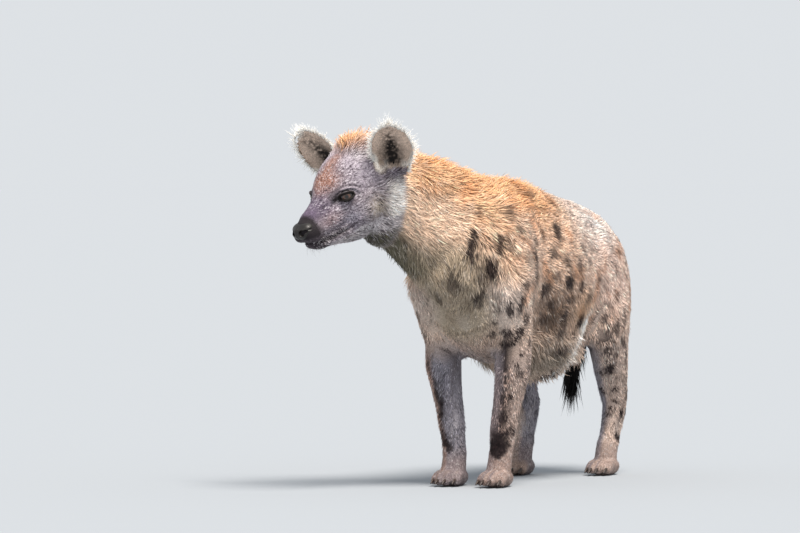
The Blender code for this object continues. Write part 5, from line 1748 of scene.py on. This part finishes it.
# %% Brown eye: rings of colour, by distance from the pupil's middle in shares of 20 mm
IRIS_RINGS = (
    (0.00, "#050303"), (0.19, "#070404"), (0.23, "#3A241A"), (0.36, "#5E4030"), (0.50, "#442C20"),
    (0.56, "#120B09"),
)
brown_eye, eye_nodes, eye_shader = new_material("dark_brown_eye", {"Roughness": 0.06, "Coat Weight": 0.6})
from_pupil = add_node(eye_nodes, "ShaderNodeAttribute", {"attribute_name": "from_pupil"})
ring_place = add_node(
    eye_nodes, "ShaderNodeMapRange", inputs={"From Max": 20.0}, links={"Value": from_pupil.outputs["Fac"]}
)
iris = add_node(eye_nodes, "ShaderNodeValToRGB", links={"Fac": ring_place.outputs["Result"]})
for k, (stop, shade) in enumerate(IRIS_RINGS):
    element = iris.color_ramp.elements[k] if k < 2 else iris.color_ramp.elements.new(stop)
    element.position = stop
    element.color = (*linear(shade), 1)
eye_nodes.links.new(iris.outputs["Color"], eye_shader.inputs["Base Color"])

# %% Eyes in place
for name in SIDES:
    eye = eyeball(name)
    eye.data.materials.append(brown_eye)
    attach(eye, "root")
    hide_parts(f"eye_{name}")
    print(eye.name, len(eye.data.polygons))

# %% [markdown]
# ## Nose
# The nose pad is bare, moist skin: a short loft with two comma-shaped nostrils, bored by three
# balls each, and a seam down the front. It is nearly black and half glossy, and fine cells in its
# bump break the highlight up, as pores do.

# %% Nose pad: head place, then half width and the halves above and below
NOSE_ROWS = (
    (-0.060, 0, -0.016, 0.020, 0.012, 0.014),
    (-0.044, 0, -0.016, 0.0290, 0.0195, 0.0205),
    (-0.030, 0, -0.016, 0.0315, 0.0200, 0.022),
    (-0.020, 0, -0.0175, 0.0275, 0.0165, 0.019),
)
NOSTRIL_BALLS = (
    ((-0.0070, 0.0145, -0.0155), (0.016, 0.0076, 0.0080)),
    ((-0.012, 0.0225, -0.0125), (0.013, 0.0060, 0.0044)),
    ((-0.021, 0.0315, -0.0105), (0.014, 0.0050, 0.0028)),
)
pad = loft(NOSE_ROWS, (0, 0, 1), sides=40, steps=5, frame_at=head_point, squareness=0.82)
nose = object_of("nose_pad", pad)
for side in SIDES.values():
    for (ahead, beside, above), radii in NOSTRIL_BALLS:
        hole = object_of("hole", ball(head_point(ahead, beside * side, above), radii, head_axes, 4))
        bore = nose.modifiers.new("bore", "BOOLEAN")
        bore.operation = "DIFFERENCE"
        bore.object = hole
        bore.solver = "EXACT"
        applied(nose)
        bpy.data.objects.remove(hole)
melted(nose, 0.0010, 5)

# %% Seam of the nose
points, normals = points_of(nose.data), normals_of(nose.data)
along, left, up_ = in_head(points).T
seam = 0.0012 * hump(left, 0, 0.0014) * soft_step(-0.024, -0.010, along) * soft_step(0.004, -0.008, up_)
put_points(nose.data, points - normals * seam[:, None])

# %% Moist black skin
PORES_PER_METRE, PORE_DEPTH = 620.0, 0.0006
moist_nose, nose_nodes, nose_shader = new_material(
    "moist_black_nose", {"Base Color": (*linear("#17120F"), 1), "Roughness": 0.42}
)
nose_place = add_node(nose_nodes, "ShaderNodeTexCoord")
cells = add_node(
    nose_nodes, "ShaderNodeTexVoronoi", {"feature": "SMOOTH_F1"}, {"Scale": PORES_PER_METRE},
    {"Vector": nose_place.outputs["Object"]},
)
nose_bump = add_node(
    nose_nodes, "ShaderNodeBump", inputs={"Strength": 0.35, "Distance": PORE_DEPTH},
    links={"Height": cells.outputs["Distance"]},
)
nose_nodes.links.new(nose_bump.outputs["Normal"], nose_shader.inputs["Normal"])
nose.data.materials.append(moist_nose)
nose.data.shade_smooth()
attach(nose, "root")
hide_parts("nose")
print("nose", len(nose.data.polygons))

# %% [markdown]
# ## Claws
# The claws are blunt and can't be drawn in, so one shows at the end of each toe. Each is a short
# bent cone of dark horn, smooth but worn, which gives a dull highlight along its back.

# %% Claws
claw_meshes = []
for x, y, wide in PAWS.values():
    for shift in TOE_SHIFTS:
        reach, spread = toe_place(shift, wide)
        claw_meshes.append(loft((
            (x + reach - 0.004, y + spread, 0.0180, 0.0042, 0.0048, 0.0048),
            (x + reach + 0.010, y + spread, 0.0155, 0.0036, 0.0042, 0.0042),
            (x + reach + 0.0215, y + spread, 0.0085, 0.0014, 0.0017, 0.0017),
        ), (0, 0, 1), sides=12, steps=3))
dark_horn = new_material("dark_horn", {"Base Color": (*linear("#3A2E28"), 1), "Roughness": 0.4})[0]
claws = joined("claws", claw_meshes)
claws.data.materials.append(dark_horn)
claws.data.shade_smooth()
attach(claws, "root")
print("claws", len(claw_meshes))

# %% [markdown]
# ## In the frame
# Nothing moves, so every piece rides on the one body. The skin stands for all the flesh.

# %% Ride and replace
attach(skin, "root")
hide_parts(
    "head", "neck", "torso", "tail", "ear_left", "ear_right",
    "foreleg_left", "foreleg_right", "hindleg_left", "hindleg_right",
    "forepaw_left", "forepaw_right", "hindpaw_left", "hindpaw_right",
)
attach(brush, "root")
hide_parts("tail_brush")
for piece in coat_pieces:
    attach(piece, "root")

# %% Sizes
made_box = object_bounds()
for axis, low, high, cad_low, cad_high in zip("XYZ", *made_box, *cad_box):
    print(axis, round(low, 3), round(high, 3), "solids", round(cad_low, 3), round(cad_high, 3))
